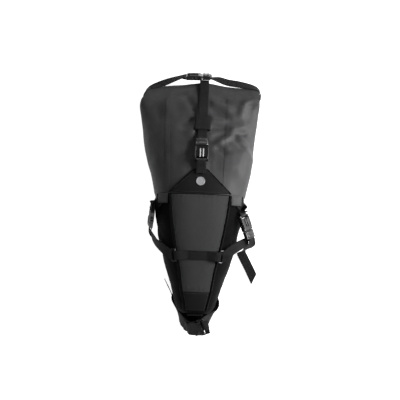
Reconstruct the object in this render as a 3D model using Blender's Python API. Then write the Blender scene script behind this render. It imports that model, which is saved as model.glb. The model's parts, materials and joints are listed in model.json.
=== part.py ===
"""Roll-top saddle bag for a bicycle, lying on its underside.

Frame: +Z up, +Y towards the rolled mouth, origin at the centre of the seat-post pad's front face.
The body is a hollow shell in two lengths (a stiff nose and a soft tube) with sewn panels, webbing,
rings and four side-release buckles on it. Each piece is an object of its own.
"""

import math

import bmesh
import bpy
from mathutils import Matrix, Vector

MM = 0.001

# ---------------------------------------------------------------- driving dimensions, in millimetres
GAP = 0.4                       # between pieces that touch
FLOOR = -60.0                   # the surface that the bag lies on
NOSE_FRONT, BORDER, MOUTH = 4.4, 256.0, 468.0   # where the shells start, meet and end
WALL = 2.4                      # fabric with its foam lining
# (distance from the pad, value) of the body's outline
HALF_WIDTH = ((4, 28), (14, 39), (62, 55), (127, 75.5), (194, 90.5), (264, 99), (366, 116.5),
              (443, 128), (468, 126))
TOP = ((4, 30), (14, 39), (60, 57), (120, 77), (200, 92), (260, 92), (330, 79), (400, 47), (443, 22),
       (468, 9))
UNDER = ((4, -38), (14, -47), (40, -54), (100, -57.3), (170, -57.3), (320, -57.3), (400, -55),
         (443, -45), (468, -27))
SQUARENESS = ((4, 2.9), (100, 2.6), (300, 2.5), (468, 2.2))
SEAM = ((8, 21), (47, 29.4), (99, 37.5), (144, 46.7), (206, 57.5), (256, 63))   # half width between pipings
PANEL_FRONT, PATCH_FRONT, PATCH_BACK = 51.0, 14.0, 49.0
PANEL_THICK, PIPING_RADIUS, SEAM_ALLOWANCE = 1.0, 1.6, 3.0
APEX, TRIANGLE_FOOT, TRIANGLE_HALF = 311.0, 258.5, 66.0
EMBLEM_CENTRE, EMBLEM_RADIUS, EMBLEM_THICK = 284.0, 9.5, 0.8
ANCHOR_PATCH = (76.5, 246.5, 10.0)      # centre across, centre along, half side

WEB_WIDTH, WEB_THICK = 20.0, 1.5        # webbing
RING_SIZE, RING_WIRE, RING_AT = (8.8, 25.6), 1.5, (46.5, 129.0)

BUCKLE_WIDTH, BUCKLE_THICK = 29.0, 9.5
SOCKET_LENGTH, CAVITY_DEPTH, CAVITY = 34.0, 23.5, (23.6, 5.4)
WINDOW = (-20.5, -5.5)                  # where the prongs show at the sides
SOCKET_SLOT = (-30.6, -26.4)            # the anchor webbing's slot
HOOD_LENGTH, HOOD_THICK = 18.0, 8.6
HOOD_SLOTS = ((4.2, 7.9), (10.7, 14.4))
SLOT_WIDTH = 21.6
TONGUE = (5.0, 20.0, 3.0)               # width, length, thickness
PRONG_ROOT, PRONG_LENGTH, PRONG_THICK = 8.4, 19.4, 4.4

ROLL_CENTRE, ROLL_SEMI, ROLL_HALF = (488.5, -9.0), (17.5, 13.5), 121.0
ROLL_LAYER, ROLL_PITCH, ROLL_TURNS = 1.6, 2.6, 2.0
STIFFENER = (15.0, 2.0, 236.0)          # along, thick, across
STIFFENER_FLOOR = -50.0                 # underside of the sheet inside the nose

PAD_SIZE, PAD_THICK = (34.0, 50.0), 4.0
BAND_HALF = 22.5                        # the seat-post strap's half width

WEB_BLACK = (0.016, 0.017, 0.019)
MATERIALS = {                           # colour, roughness, metallic
    "body_fabric": ((0.075, 0.077, 0.084), 0.78, 0.0),
    "nose_fabric": ((0.009, 0.009, 0.010), 0.66, 0.0),
    "panel_fabric": ((0.050, 0.051, 0.055), 0.74, 0.0),
    "patch_fabric": ((0.012, 0.012, 0.013), 0.6, 0.0),
    "grip_patch": ((0.085, 0.086, 0.090), 0.7, 0.0),
    "reflective_film": ((0.62, 0.63, 0.65), 0.35, 0.0),
    "webbing": (WEB_BLACK, 0.72, 0.0),
    "buckle_plastic": ((0.012, 0.012, 0.013), 0.3, 0.0),
    "ring_steel": ((0.16, 0.16, 0.17), 0.3, 1.0),
    "rubber": ((0.014, 0.014, 0.015), 0.85, 0.0),
    "stiffener_sheet": ((0.02, 0.02, 0.022), 0.5, 0.0),
}

# Where each buckle is: the socket's mouth, the way the plug points out of it, and the face that shows.
BUCKLES = {
    "closure": ((0.0, 356.0), None, None),
    "rail_right": ((104.0, 186.0, 58.0), (0.36, -0.93, -0.10), (0.75, 0.22, 0.62)),
    "rail_left": ((-101.5, 205.0, 32.0), (-0.08, -0.62, -0.78), (-0.98, 0.05, 0.10)),
    "roll": ((-6.0, 519.0, -8.0), (1.0, 0.03, 0.0), (0.0, 0.93, 0.37)),
}
CLOSURE_LIFT = 6.6                      # of the buckle's middle plane over the fabric


# ---------------------------------------------------------------- helpers
def clear_scene():
    for thing in list(bpy.data.objects):
        bpy.data.objects.remove(thing, do_unlink=True)


def material(name):
    found = bpy.data.materials.get(name)
    if found:
        return found
    colour, roughness, metallic = MATERIALS[name]
    made = bpy.data.materials.new(name)
    made.use_nodes = True
    shader = made.node_tree.nodes["Principled BSDF"]
    shader.inputs["Base Color"].default_value = (*colour, 1.0)
    shader.inputs["Roughness"].default_value = roughness
    shader.inputs["Metallic"].default_value = metallic
    return made


def add(name, data, kind, place=None):
    thing = bpy.data.objects.new(name, data)
    bpy.context.scene.collection.objects.link(thing)
    data.materials.clear()
    data.materials.append(material(kind))
    if place is not None:
        thing.matrix_world = place
    return thing


def closed_mesh(name, points, faces, origin=Vector()):
    """Points in millimetres; the mesh is in metres, about the origin given."""
    mesh = bpy.data.meshes.new(name)
    mesh.from_pydata([(Vector(p) - origin) * MM for p in points], [], faces)
    shape = bmesh.new()
    shape.from_mesh(mesh)
    bmesh.ops.recalc_face_normals(shape, faces=shape.faces)
    shape.to_mesh(mesh)
    shape.free()
    mesh.shade_smooth()
    mesh.set_sharp_from_angle(angle=math.radians(35))
    return mesh


def along(profile, at):
    """A smooth curve through a profile's (place, value) pairs."""
    at = min(max(at, profile[0][0]), profile[-1][0])
    last = len(profile) - 1
    i = next(k for k in range(last) if at <= profile[k + 1][0])

    def slope(k):
        a, b = profile[max(k - 1, 0)], profile[min(k + 1, last)]
        return (b[1] - a[1]) / (b[0] - a[0])

    (x0, v0), (x1, v1) = profile[i], profile[i + 1]
    span = x1 - x0
    t = (at - x0) / span
    rise = (1 + 2 * t) * (1 - t) ** 2 * v0 + t * t * (3 - 2 * t) * v1
    return rise + span * (t * (1 - t) ** 2 * slope(i) + t * t * (t - 1) * slope(i + 1))


def section(y):
    top, under = along(TOP, y), along(UNDER, y)
    return along(HALF_WIDTH, y), (top + under) / 2, (top - under) / 2, along(SQUARENESS, y)


def on_top(x, y):
    """The point of the body's upper surface over x, y."""
    half, middle, height, power = section(y)
    rise = max(1 - (abs(x) / half) ** power, 0.0) ** (1 / power)
    return Vector((x, y, middle + height * rise))


def top_normal(x, y):
    step = 1.0
    across = on_top(x + step, y) - on_top(x - step, y)
    lengthways = on_top(x, y + step) - on_top(x, y - step)
    return across.cross(lengthways).normalized()


def lengthways_on_top(x, y):
    return (on_top(x, y + 1.0) - on_top(x, y - 1.0)).normalized()


def lifted(x, y, height):
    return on_top(x, y) + top_normal(x, y) * height


def rib(y, count):
    half, middle, height, power = section(y)
    points = []
    for i in range(count):
        turn = 2 * math.pi * (i + 0.5) / count
        c, s = math.cos(turn), math.sin(turn)
        points.append((
            half * math.copysign(abs(c) ** (2 / power), c),
            y,
            middle + height * math.copysign(abs(s) ** (2 / power), s),
        ))
    return points


def spread(start, end, steps):
    return [start + (end - start) * i / steps for i in range(steps + 1)]


# ---------------------------------------------------------------- the body
def shell(name, stations, kind, front_wall, count=40):
    """A tube of fabric through the body's ribs, open at the back; the wall is Solidify's."""
    points = [p for y in stations for p in rib(y, count)]
    faces = []
    for row in range(len(stations) - 1):
        for i in range(count):
            a, b = row * count + i, row * count + (i + 1) % count
            faces.append((a, a + count, b + count, b))
    if front_wall:
        faces.append(tuple(range(count)))
    mesh = bpy.data.meshes.new(name)
    mesh.from_pydata([Vector(p) * MM for p in points], [], faces)
    mesh.shade_smooth()
    thing = add(name, mesh, kind)
    wall = thing.modifiers.new("wall", "SOLIDIFY")
    wall.thickness = WALL * MM
    wall.offset = -1.0
    return thing


def skin(name, rows, lift, thickness, kind):
    """A sewn panel that follows the upper surface; rows hold equally many (x, y) pairs."""
    count = len(rows[0])
    flat = [pair for row in rows for pair in row]
    lower = [lifted(x, y, lift) for x, y in flat]
    upper = [lifted(x, y, lift + thickness) for x, y in flat]
    size = len(flat)
    faces = []
    for r in range(len(rows) - 1):
        for c in range(count - 1):
            a = r * count + c
            quad = (a, a + 1, a + count + 1, a + count)
            faces.append(quad)
            faces.append(tuple(size + k for k in reversed(quad)))
    rim = list(range(count))
    rim += [r * count + count - 1 for r in range(1, len(rows))]
    rim += [size - 1 - c for c in range(1, count)]
    rim += [r * count for r in range(len(rows) - 2, 0, -1)]
    for a, b in zip(rim, rim[1:] + rim[:1]):
        faces.append((b, a, a + size, b + size))
    return add(name, closed_mesh(name, lower + upper, faces), kind)


SKIN_LIFT = 1.1


def panels():
    across = spread(-1, 1, 10)
    edge = SEAM_ALLOWANCE
    skin("top_panel",
         [[(u * (along(SEAM, y) - edge), y) for u in across] for y in spread(PANEL_FRONT, BORDER - 2, 12)],
         SKIN_LIFT, PANEL_THICK, "panel_fabric")
    skin("lower_patch",
         [[(u * (along(SEAM, y) - edge), y) for u in across] for y in spread(PATCH_FRONT, PATCH_BACK, 4)],
         SKIN_LIFT, PANEL_THICK, "patch_fabric")

    def half_at(y):
        slant = (APEX - y) / (APEX - TRIANGLE_FOOT)
        return WEB_WIDTH / 2 + 3 + (TRIANGLE_HALF - WEB_WIDTH / 2 - 3) * slant

    skin("triangle_patch",
         [[(u * half_at(y), y) for u in across] for y in spread(TRIANGLE_FOOT, APEX, 6)],
         SKIN_LIFT, PANEL_THICK, "patch_fabric")
    x0, y0, side = ANCHOR_PATCH
    for word, sign in (("left", -1), ("right", 1)):
        skin(f"anchor_patch_{word}",
             [[(sign * x0 + u * side, y0 + v * side) for u in spread(-1, 1, 3)]
              for v in spread(-1, 1, 3)],
             SKIN_LIFT, PANEL_THICK, "grip_patch")


def emblem():
    """A plain round reflector, domed with the panel under it."""
    sides, lift = 20, SKIN_LIFT + PANEL_THICK + 0.6
    rim = [(EMBLEM_RADIUS * math.cos(2 * math.pi * i / sides),
            EMBLEM_CENTRE + EMBLEM_RADIUS * math.sin(2 * math.pi * i / sides)) for i in range(sides)]
    points = [lifted(x, y, h) for h in (lift, lift + EMBLEM_THICK) for x, y in rim]
    faces = [tuple(range(sides)), tuple(range(sides, 2 * sides))]
    faces += [(i, (i + 1) % sides, sides + (i + 1) % sides, sides + i) for i in range(sides)]
    add("emblem", closed_mesh("emblem", points, faces), "reflective_film")


def tube(name, points, radius, kind, cyclic=False, place=None):
    curve = bpy.data.curves.new(name, "CURVE")
    curve.dimensions = "3D"
    curve.bevel_depth = radius * MM
    curve.bevel_resolution = 2
    curve.use_fill_caps = not cyclic
    spline = curve.splines.new("POLY")
    spline.points.add(len(points) - 1)
    spline.use_cyclic_u = cyclic
    for knot, point in zip(spline.points, points):
        knot.co = (*(Vector(point) * MM), 1.0)
    return add(name, curve, kind, place)


def pipings():
    lift = PIPING_RADIUS + 1.0
    for word, sign in (("left", -1), ("right", 1)):
        stations = spread(PATCH_FRONT + 2, BORDER - 4, 22)
        tube(f"piping_{word}", [lifted(sign * along(SEAM, y), y, lift) for y in stations],
             PIPING_RADIUS, "nose_fabric")


# ---------------------------------------------------------------- webbing
def straighten(stations):
    """Turns each half-width vector square to the path, at its own length."""
    result = []
    for i, (centre, half) in enumerate(stations):
        before, after = stations[max(i - 1, 0)][0], stations[min(i + 1, len(stations) - 1)][0]
        way = (after - before).normalized()
        half = Vector(half)
        square = (half - way * half.dot(way)).normalized() * half.length
        result.append((centre, square, way.cross(square).normalized()))
    return result


def eased(stations, steps):
    """A smooth path through a few (centre, half-width vector) stations."""
    result = []
    for i in range(len(stations) - 1):
        rows = [stations[min(max(k, 0), len(stations) - 1)] for k in (i - 1, i, i + 1, i + 2)]
        for s in range(steps):
            t = s / steps
            mixed = []
            for part in (0, 1):
                a, b, c, d = (Vector(row[part]) for row in rows)
                mixed.append(0.5 * (2 * b + (c - a) * t + (2 * a - 5 * b + 4 * c - d) * t * t
                                    + (3 * b - a - 3 * c + d) * t ** 3))
            length = Vector(rows[1][1]).length
            result.append((mixed[0], mixed[1].normalized() * length))
    last = stations[-1]
    return result + [(Vector(last[0]), Vector(last[1]))]


def strap(name, stations, kind="webbing", thickness=WEB_THICK, origin=Vector()):
    points = []
    for centre, half, normal in straighten(stations):
        lift = normal * thickness / 2
        points += [centre + half + lift, centre - half + lift, centre - half - lift, centre + half - lift]
    faces = [(3, 2, 1, 0), tuple(len(points) - 4 + k for k in range(4))]
    for row in range(len(stations) - 1):
        for k in range(4):
            a, b = row * 4 + k, row * 4 + (k + 1) % 4
            faces.append((a, b, b + 4, a + 4))
    place = Matrix.Translation(origin * MM)
    return add(name, closed_mesh(name, points, faces, origin), kind, place)


def turn_about(centre, start, side, angle, steps, half):
    """Stations round a bar: from the start vector, turning towards the side vector."""
    radius = start.length
    outward = side.normalized()
    return [(centre + start * math.cos(a) + outward * radius * math.sin(a), half)
            for a in spread(0, math.radians(angle), steps)]


LOOP = RING_WIRE + GAP + WEB_THICK / 2 + 0.35     # a webbing's middle round a ring's wire
RING_LIFT = 8.4                         # of a rail ring's plane over the fabric
CROSS_LIFT, CROSS_UPPER_LIFT = 3.4, 5.8     # of the cross strap, and of its folded-back ends


def ring_frame(sign):
    """The place of a rail ring: x outwards along the fabric, y along the bag, z off it."""
    x, y = RING_AT
    up = top_normal(sign * x, y)
    lengthways = Vector((0, 1, 0))
    lengthways = (lengthways - up * lengthways.dot(up)).normalized()
    return lifted(sign * x, y, RING_LIFT), lengthways.cross(up) * sign, lengthways, up


def cross_strap():
    y = RING_AT[1]
    flat = [(lifted(x, y, CROSS_LIFT), lengthways_on_top(x, y) * WEB_WIDTH / 2) for x in spread(-20, 20, 8)]

    def end(sign):
        centre, out, lengthways, up = ring_frame(sign)
        half = lengthways * WEB_WIDTH / 2
        bar = centre - out * RING_SIZE[0] / 2
        upper = [(lifted(sign * 27, y, CROSS_UPPER_LIFT), half), (bar - out * 7 + up * 1.9, half)]
        lower = [(bar - out * 6.5 - up * LOOP, half), (lifted(sign * 28, y, CROSS_LIFT), half)]
        return upper + turn_about(bar, up * LOOP, out, 180, 8, half) + lower

    left = [(c, h) for c, h in reversed(end(-1))]
    strap("cross_strap", left + flat + end(1))


def ring_outline(length, width, corner=2.0, steps=3):
    outline = []
    for cx, cy, start in ((1, 1, 0), (-1, 1, 90), (-1, -1, 180), (1, -1, 270)):
        for a in spread(0, 90, steps):
            turn = math.radians(start + a)
            outline.append((cx * (length / 2 - corner) + corner * math.cos(turn),
                            cy * (width / 2 - corner) + corner * math.sin(turn), 0.0))
    return outline


def frame_matrix(origin, x, y, z):
    turned = Matrix((x, y, z)).transposed().to_4x4()
    return Matrix.Translation(Vector(origin) * MM) @ turned


def rail_rings():
    """Each ring's own origin is on its inner bar, where it turns in the cross strap."""
    for word, sign in (("left", -1), ("right", 1)):
        centre, out, _, up = ring_frame(sign)
        side = up.cross(out)
        bar = centre - out * RING_SIZE[0] / 2
        outline = [(x + RING_SIZE[0] / 2, y, z) for x, y, z in ring_outline(*RING_SIZE)]
        tube(f"rail_ring_{word}", outline, RING_WIRE, "ring_steel", cyclic=True,
             place=frame_matrix(bar, out, side, up))


# ---------------------------------------------------------------- side-release buckles
def buckle_frame(name):
    """Origin at the socket's mouth; x across, y the way the plug comes out, z the face that shows."""
    mouth, way, face = BUCKLES[name]
    if way is None:
        x, y = mouth
        face = top_normal(x, y)
        way = face.cross(Vector((1, 0, 0)))
        mouth = lifted(x, y, CLOSURE_LIFT)
    way, face = Vector(way).normalized(), Vector(face)
    face = (face - way * face.dot(way)).normalized()
    return Vector(mouth), way.cross(face), way, face


def in_frame(frame, x, y, z):
    origin, across, way, face = frame
    return origin + across * x + way * y + face * z


def block(width, y0, y1, thickness, x=0.0, z=0.0):
    shape = bmesh.new()
    size = Matrix.Diagonal((width * MM, (y1 - y0) * MM, thickness * MM, 1))
    middle = Matrix.Translation(Vector((x, (y0 + y1) / 2, z)) * MM)
    bmesh.ops.create_cube(shape, size=1.0, matrix=middle @ size)
    mesh = bpy.data.meshes.new("block")
    shape.to_mesh(mesh)
    shape.free()
    return bpy.data.objects.new("block", mesh)


def carved(name, solid, joined, cutters, rounding):
    """One mesh: the solid with others joined to it and cutters taken away, its long edges rounded."""
    scene = bpy.context.scene.collection
    scene.objects.link(solid)
    bevel = solid.modifiers.new("rounding", "BEVEL")
    bevel.width = rounding * MM
    bevel.segments = 2
    for operation, others in (("UNION", joined), ("DIFFERENCE", cutters)):
        for other in others:
            scene.objects.link(other)
            other.hide_render = True
            cut = solid.modifiers.new("cut", "BOOLEAN")
            cut.operation = operation
            cut.object = other
    bpy.context.view_layer.update()
    finished = solid.evaluated_get(bpy.context.evaluated_depsgraph_get())
    mesh = bpy.data.meshes.new_from_object(finished)
    mesh.name = name
    for thing in [solid, *joined, *cutters]:
        bpy.data.objects.remove(thing, do_unlink=True)
    mesh.shade_smooth()
    mesh.set_sharp_from_angle(angle=math.radians(35))
    return mesh


def socket_mesh():
    body = block(BUCKLE_WIDTH, -SOCKET_LENGTH, 0, BUCKLE_THICK)
    past = 2.0
    cutters = [
        block(CAVITY[0], -CAVITY_DEPTH, past, CAVITY[1]),
        block(BUCKLE_WIDTH + past, *WINDOW, CAVITY[1]),
        block(SLOT_WIDTH, *SOCKET_SLOT, BUCKLE_THICK + past),
    ]
    for side in (-1, 1):
        # The webbing's bar is thinner than the body, so the loop lies within it.
        cutters.append(block(SLOT_WIDTH, -SOCKET_LENGTH - past, SOCKET_SLOT[0] + 0.01, 3.0, z=side * 3.6))
    return carved("socket", body, [], cutters, 1.4)


def plug_mesh():
    hood = block(BUCKLE_WIDTH - 1, GAP, HOOD_LENGTH, HOOD_THICK)
    width, length, thickness = TONGUE
    tongue = block(width, -length, GAP + 1, thickness)
    cutters = [block(SLOT_WIDTH, *slot, HOOD_THICK + 2) for slot in HOOD_SLOTS]
    past, bars = 2.0, 3.2
    for side in (-1, 1):
        cutters.append(block(SLOT_WIDTH, HOOD_SLOTS[0][1] - 0.01, HOOD_LENGTH + past, bars,
                             z=side * (HOOD_THICK / 2 - bars / 2 + 0.6)))
    return carved("plug", hood, [tongue], cutters, 1.2)


def prong_mesh(side):
    """A springy arm with a barbed pad; its origin is its root, where it flexes."""
    outline = [(-1.0, 0.0), (1.0, 0.0), (1.3, -5.0), (4.6, -6.6), (5.6, -11.0), (5.0, -15.5),
               (3.2, -PRONG_LENGTH + 0.6), (0.8, -PRONG_LENGTH), (1.8, -14.0), (-0.2, -7.0)]
    points = [(side * x, y, z) for z in (-PRONG_THICK / 2, PRONG_THICK / 2) for x, y in outline]
    count = len(outline)
    faces = [tuple(range(count)), tuple(range(count, 2 * count))]
    faces += [(i, (i + 1) % count, count + (i + 1) % count, count + i) for i in range(count)]
    return closed_mesh("prong", points, faces)


def buckles():
    socket, plug = socket_mesh(), plug_mesh()
    prongs = {"left": prong_mesh(-1), "right": prong_mesh(1)}
    for name in BUCKLES:
        frame = buckle_frame(name)
        place = frame_matrix(*frame)
        add(f"{name}_buckle_socket", socket, "buckle_plastic", place)
        add(f"{name}_buckle_plug", plug, "buckle_plastic", place)
        for word, side in (("left", -1), ("right", 1)):
            root = in_frame(frame, side * PRONG_ROOT, 0, 0)
            add(f"{name}_buckle_prong_{word}", prongs[word], "buckle_plastic",
                frame_matrix(root, *frame[1:]))


SOCKET_TURN, PLUG_TURN = 3.7, 3.15      # radius of a webbing's middle round each buckle bar


def socket_loop(frame):
    """Webbing round a socket's end bar: in over it, round it, and out under it."""
    across = frame[1] * WEB_WIDTH / 2
    bar = in_frame(frame, 0, (SOCKET_SLOT[0] - SOCKET_LENGTH) / 2, 0)
    return turn_about(bar, frame[3] * SOCKET_TURN, frame[2], 180, 8, across)


def plug_loop(frame):
    """Webbing round a plug's middle bar: in under the end bar, up through, and out over it."""
    across = frame[1] * WEB_WIDTH / 2
    bar = in_frame(frame, 0, (HOOD_SLOTS[0][1] + HOOD_SLOTS[1][0]) / 2, 0)
    clear = HOOD_LENGTH + 3
    lower = [(in_frame(frame, 0, clear, -3.0), across)]
    upper = [(in_frame(frame, 0, clear, 3.0), across)]
    return lower + turn_about(bar, frame[3] * -PLUG_TURN, frame[2] * -1, 180, 8, across) + upper


# ---------------------------------------------------------------- the straps' routes
KEEPER = (393.0, 426.0)
STRAP_HEIGHT, TAIL_HEIGHT = 3.2, 5.4


def closure_strap():
    """From under the bag, round the roll, forward to the plug, and back as a doubled tail."""
    half = Vector((WEB_WIDTH / 2, 0, 0))
    frame = buckle_frame("closure")
    behind = [(0, 404, -58.6), (0, 436, -50.5), (0, 462, -36), (0, 485, -27), (0, 503, -21.5),
              (0, 508.6, -9), (0, 503, 3.2), (0, 488, 8.2)]
    rear = eased([(Vector(p), half) for p in behind], 3)
    forward = [(lifted(0, y, STRAP_HEIGHT), half) for y in spread(466, 386, 9)]
    tail = [(lifted(0, y, TAIL_HEIGHT), half) for y in spread(389, 429, 5)]
    loop = [(c, half) for c, _ in plug_loop(frame)]
    strap("closure_strap", rear + forward + loop + tail)


def closure_anchor():
    """The socket's short webbing, sewn flat to the triangle patch."""
    frame = buckle_frame("closure")
    half = Vector((WEB_WIDTH / 2, 0, 0))
    sewn = SKIN_LIFT + PANEL_THICK + GAP + WEB_THICK / 2
    doubled = ((300, 1.9), (306, 1.9), (312, 3.0), (318, 6.2))      # along the bag, above the layer under it
    upper = [(lifted(0, y, sewn + rise), half) for y, rise in doubled]
    lower = [(lifted(0, y, sewn), half) for y in (313, 306, 300)]
    loop = [(c, half) for c, _ in socket_loop(frame)]
    strap("closure_anchor_webbing", upper + loop + lower)


def rail_anchor(word, sign):
    """Webbing from under an anchor patch down to the side socket, doubled round its bar."""
    frame = buckle_frame(f"rail_{word}")
    x, y, side = ANCHOR_PATCH
    patch = sign * (x + side), y - side
    sewn = lifted(*patch, 4.2)
    loop = socket_loop(frame)
    middle = in_frame(frame, 0, -SOCKET_LENGTH - 6, 2.6)
    back = in_frame(frame, 0, -SOCKET_LENGTH - 8, -1.6)
    half = frame[1] * WEB_WIDTH / 2
    route = [(sewn, lengthways_on_top(*patch) * WEB_WIDTH / 2),
             ((sewn + middle) / 2 + top_normal(*patch) * 9, half), (middle, half)]
    strap(f"rail_anchor_webbing_{word}", eased(route, 4) + loop + [(back, half)])


def rail_strap(word, sign, route, tail):
    """From the rail ring out to the side plug, round its bar, and away as the free tail."""
    frame = buckle_frame(f"rail_{word}")
    centre, out, lengthways, up = ring_frame(sign)
    bar = centre + out * RING_SIZE[0] / 2
    ring_half = lengthways * WEB_WIDTH / 2
    tucked = [(bar + out * 9 - up * 0.6, ring_half)]
    ring = turn_about(bar, up * -LOOP, out * -1, 180, 8, ring_half)
    loop = plug_loop(frame)
    if loop[0][1].dot(Vector(route[-1][1])) < 0:
        loop = [(c, -h) for c, h in loop]

    def squared(stations):
        return [(Vector(p), Vector(h).normalized() * WEB_WIDTH / 2) for p, h in stations]

    between = [ring[-1], *squared(route), loop[0]]
    away = [loop[-1], *squared(tail)]
    path = tucked + ring[:-1] + eased(between, 4) + loop[1:-1] + eased(away, 4)
    strap(f"rail_strap_{word}", path)


# (place, half-width direction) along each rail strap, from ring to plug, and from plug to free end
RIGHT_ROUTE = [((72, 131, 76), (0.0, 1.0, 0.2)), ((96, 141, 66), (-0.4, 0.8, 0.2)),
               ((111, 151, 57), (-0.55, 0.3, 0.6))]
RIGHT_TAIL = [((119, 152, 48), (-0.7, 0.0, 0.7)), ((117, 146, 14), (-0.9, -0.2, 0.3)),
              ((104, 147, -26), (-0.9, -0.4, 0.0)), ((96, 142, -52), (-0.9, -0.42, 0.0)),
              ((101, 131, -58.7), (-0.89, -0.46, 0.0)), ((112, 111, -58.9), (-0.89, -0.46, 0.0)),
              ((126, 84, -58.9), (-0.89, -0.46, 0.0))]
LEFT_ROUTE = [((-75, 138, 64), (0, 1, 0.1)), ((-95, 152, 38), (0, 0.86, 0.5)),
              ((-104, 166, 14), (0, 0.7, 0.6)), ((-105.5, 178, 4), (0, -0.1, 1.0))]
LEFT_TAIL = [((-108, 178, -2), (0, -0.6, 0.8)), ((-100, 152, -18), (0, -0.2, 1)),
             ((-84, 114, -26), (0, 0, 1)), ((-68, 76, -33), (0, 0, 1)), ((-53, 50, -37), (0, 0, 1))]


def keeper():
    """A soft sleeve that slides on the strap and holds its tail down."""
    sides, middle = 16, (STRAP_HEIGHT + TAIL_HEIGHT) / 2
    outer, inner = (17.0, 3.9), (12.0, 2.7)
    rings = []
    for y in spread(*KEEPER, 4):
        for semi in (outer, inner):
            row = []
            for i in range(sides):
                turn = 2 * math.pi * (i + 0.5) / sides
                c, s = math.cos(turn), math.sin(turn)
                x = semi[0] * math.copysign(abs(c) ** 0.45, c)
                z = semi[1] * math.copysign(abs(s) ** 0.45, s)
                row.append(lifted(0, y, middle + z) + Vector((x, 0, 0)))
            rings.append(row)
    points = [p for row in rings for p in row]
    faces = []
    for row in range(0, len(rings) - 2, 2):
        for layer in (0, 1):
            for i in range(sides):
                a = (row + layer) * sides + i
                b = (row + layer) * sides + (i + 1) % sides
                faces.append((a, b, b + 2 * sides, a + 2 * sides))
    for first in (0, (len(rings) - 2) * sides):
        for i in range(sides):
            a, b = first + i, first + (i + 1) % sides
            faces.append((a, b, b + sides, a + sides))
    origin = lifted(0, sum(KEEPER) / 2, middle)
    add("strap_keeper", closed_mesh("strap_keeper", points, faces, origin), "webbing",
        Matrix.Translation(origin * MM))


# ---------------------------------------------------------------- the rolled mouth
def rolled_mouth():
    """The mouth's fabric wound round its stiffener: an oval spiral, drawn out across the bag."""
    (yc, zc), (ry, rz) = ROLL_CENTRE, ROLL_SEMI
    steps = 40
    outer, inner = [], []
    for turn in spread(0.0, ROLL_TURNS, steps):
        shrink = ROLL_PITCH * turn
        a = 2 * math.pi * turn + math.pi * 0.75
        for line, depth in ((outer, shrink), (inner, shrink + ROLL_LAYER)):
            line.append((yc + (ry - depth) * math.cos(a), zc + (rz - depth) * math.sin(a)))
    outline = outer + inner[::-1]
    points = []
    for x, ease in ((-ROLL_HALF, 0.9), (-ROLL_HALF + 12, 1.0), (ROLL_HALF - 12, 1.0), (ROLL_HALF, 0.9)):
        points += [(x, yc + (y - yc) * ease, zc + (z - zc) * ease) for y, z in outline]
    count, strip = len(outline), len(outer)
    faces = []
    for row in range(3):
        for i in range(count):
            a, b = row * count + i, row * count + (i + 1) % count
            faces.append((a, b, b + count, a + count))
    for first in (0, 3 * count):
        for i in range(strip - 1):
            faces.append((first + i, first + i + 1, first + count - 2 - i, first + count - 1 - i))
    add("rolled_mouth", closed_mesh("rolled_mouth", points, faces), "body_fabric")


def mouth_stiffener():
    length, thickness, across = STIFFENER
    yc, zc = ROLL_CENTRE
    strip = block(across, -length / 2, length / 2, thickness)
    add("mouth_stiffener", strip.data, "stiffener_sheet", Matrix.Translation(Vector((0, yc, zc)) * MM))
    bpy.data.objects.remove(strip)


ROLL_END = (125.8, 496.0, -9.0)


def roll_tab(word, sign, route, loop):
    """Webbing from one end of the roll, bent back to its half of the roll buckle."""
    x, y, z = ROLL_END
    half = Vector((0, 0.3, 0.95)) * WEB_WIDTH / 2
    if loop[0][1].dot(half) < 0:
        loop = [(c, -h) for c, h in loop]
    start = [(sign * x, y - 14, z), (sign * (x - 1), y, z), (sign * (x - 9), y + 14, z)]
    path = eased([(Vector(p), half) for p in start + route] + [loop[0]], 4)
    strap(f"roll_tab_{word}", path + loop[1:])


def roll_tabs():
    frame = buckle_frame("roll")
    loop = socket_loop(frame)
    tail = (in_frame(frame, 0, -SOCKET_LENGTH - 9, -2.4), loop[0][1])
    roll_tab("left", -1, [(-97, 514, -9), (-72, 519, -9), (-54, 523.8, -7.2)], loop + [tail])
    roll_tab("right", 1, [(98, 512, -9), (72, 515, -9), (46, 519, -9)], plug_loop(frame))


# ---------------------------------------------------------------- the nose
BAND_RING = ((17.5, -24.0, 1.0), (0.91, 0.40, 0.0), (0.0, -0.66, -0.75))   # centre, along it, down it
BAND_RING_SIZE = (12.0, 53.0)
BAND_THICK = 2.0


def band_ring_frame():
    centre, way, lean = (Vector(v) for v in BAND_RING)
    way.normalize()
    lean = (lean - way * lean.dot(way)).normalized()
    return centre, way, lean, way.cross(lean)


def seatpost_ring():
    centre, way, lean, face = band_ring_frame()
    hinge = centre - way * BAND_RING_SIZE[0] / 2
    outline = [(x + BAND_RING_SIZE[0] / 2, y, z) for x, y, z in ring_outline(*BAND_RING_SIZE)]
    tube("seatpost_ring", outline, RING_WIRE, "ring_steel", cyclic=True,
         place=frame_matrix(hinge, way, lean, face))


# (place, half-width direction) of each end of the band, from the nose's side to the ring
BAND_LEAD = [((-48.6, 30, -22), (0.2, -0.4, -0.9)), ((-42.8, 12, -20), (0.2, -0.4, -0.9)),
             ((-28.5, -11, -9), (0, -0.55, -0.83))]
BAND_OVER = [(-8, -31.5, -1.2), (-20, -24, -3.4)]
BAND_HOME = [((44.6, 7, -26), (-0.2, -0.4, -0.9)), ((49.6, 29, -26), (-0.2, -0.4, -0.9))]


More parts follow.
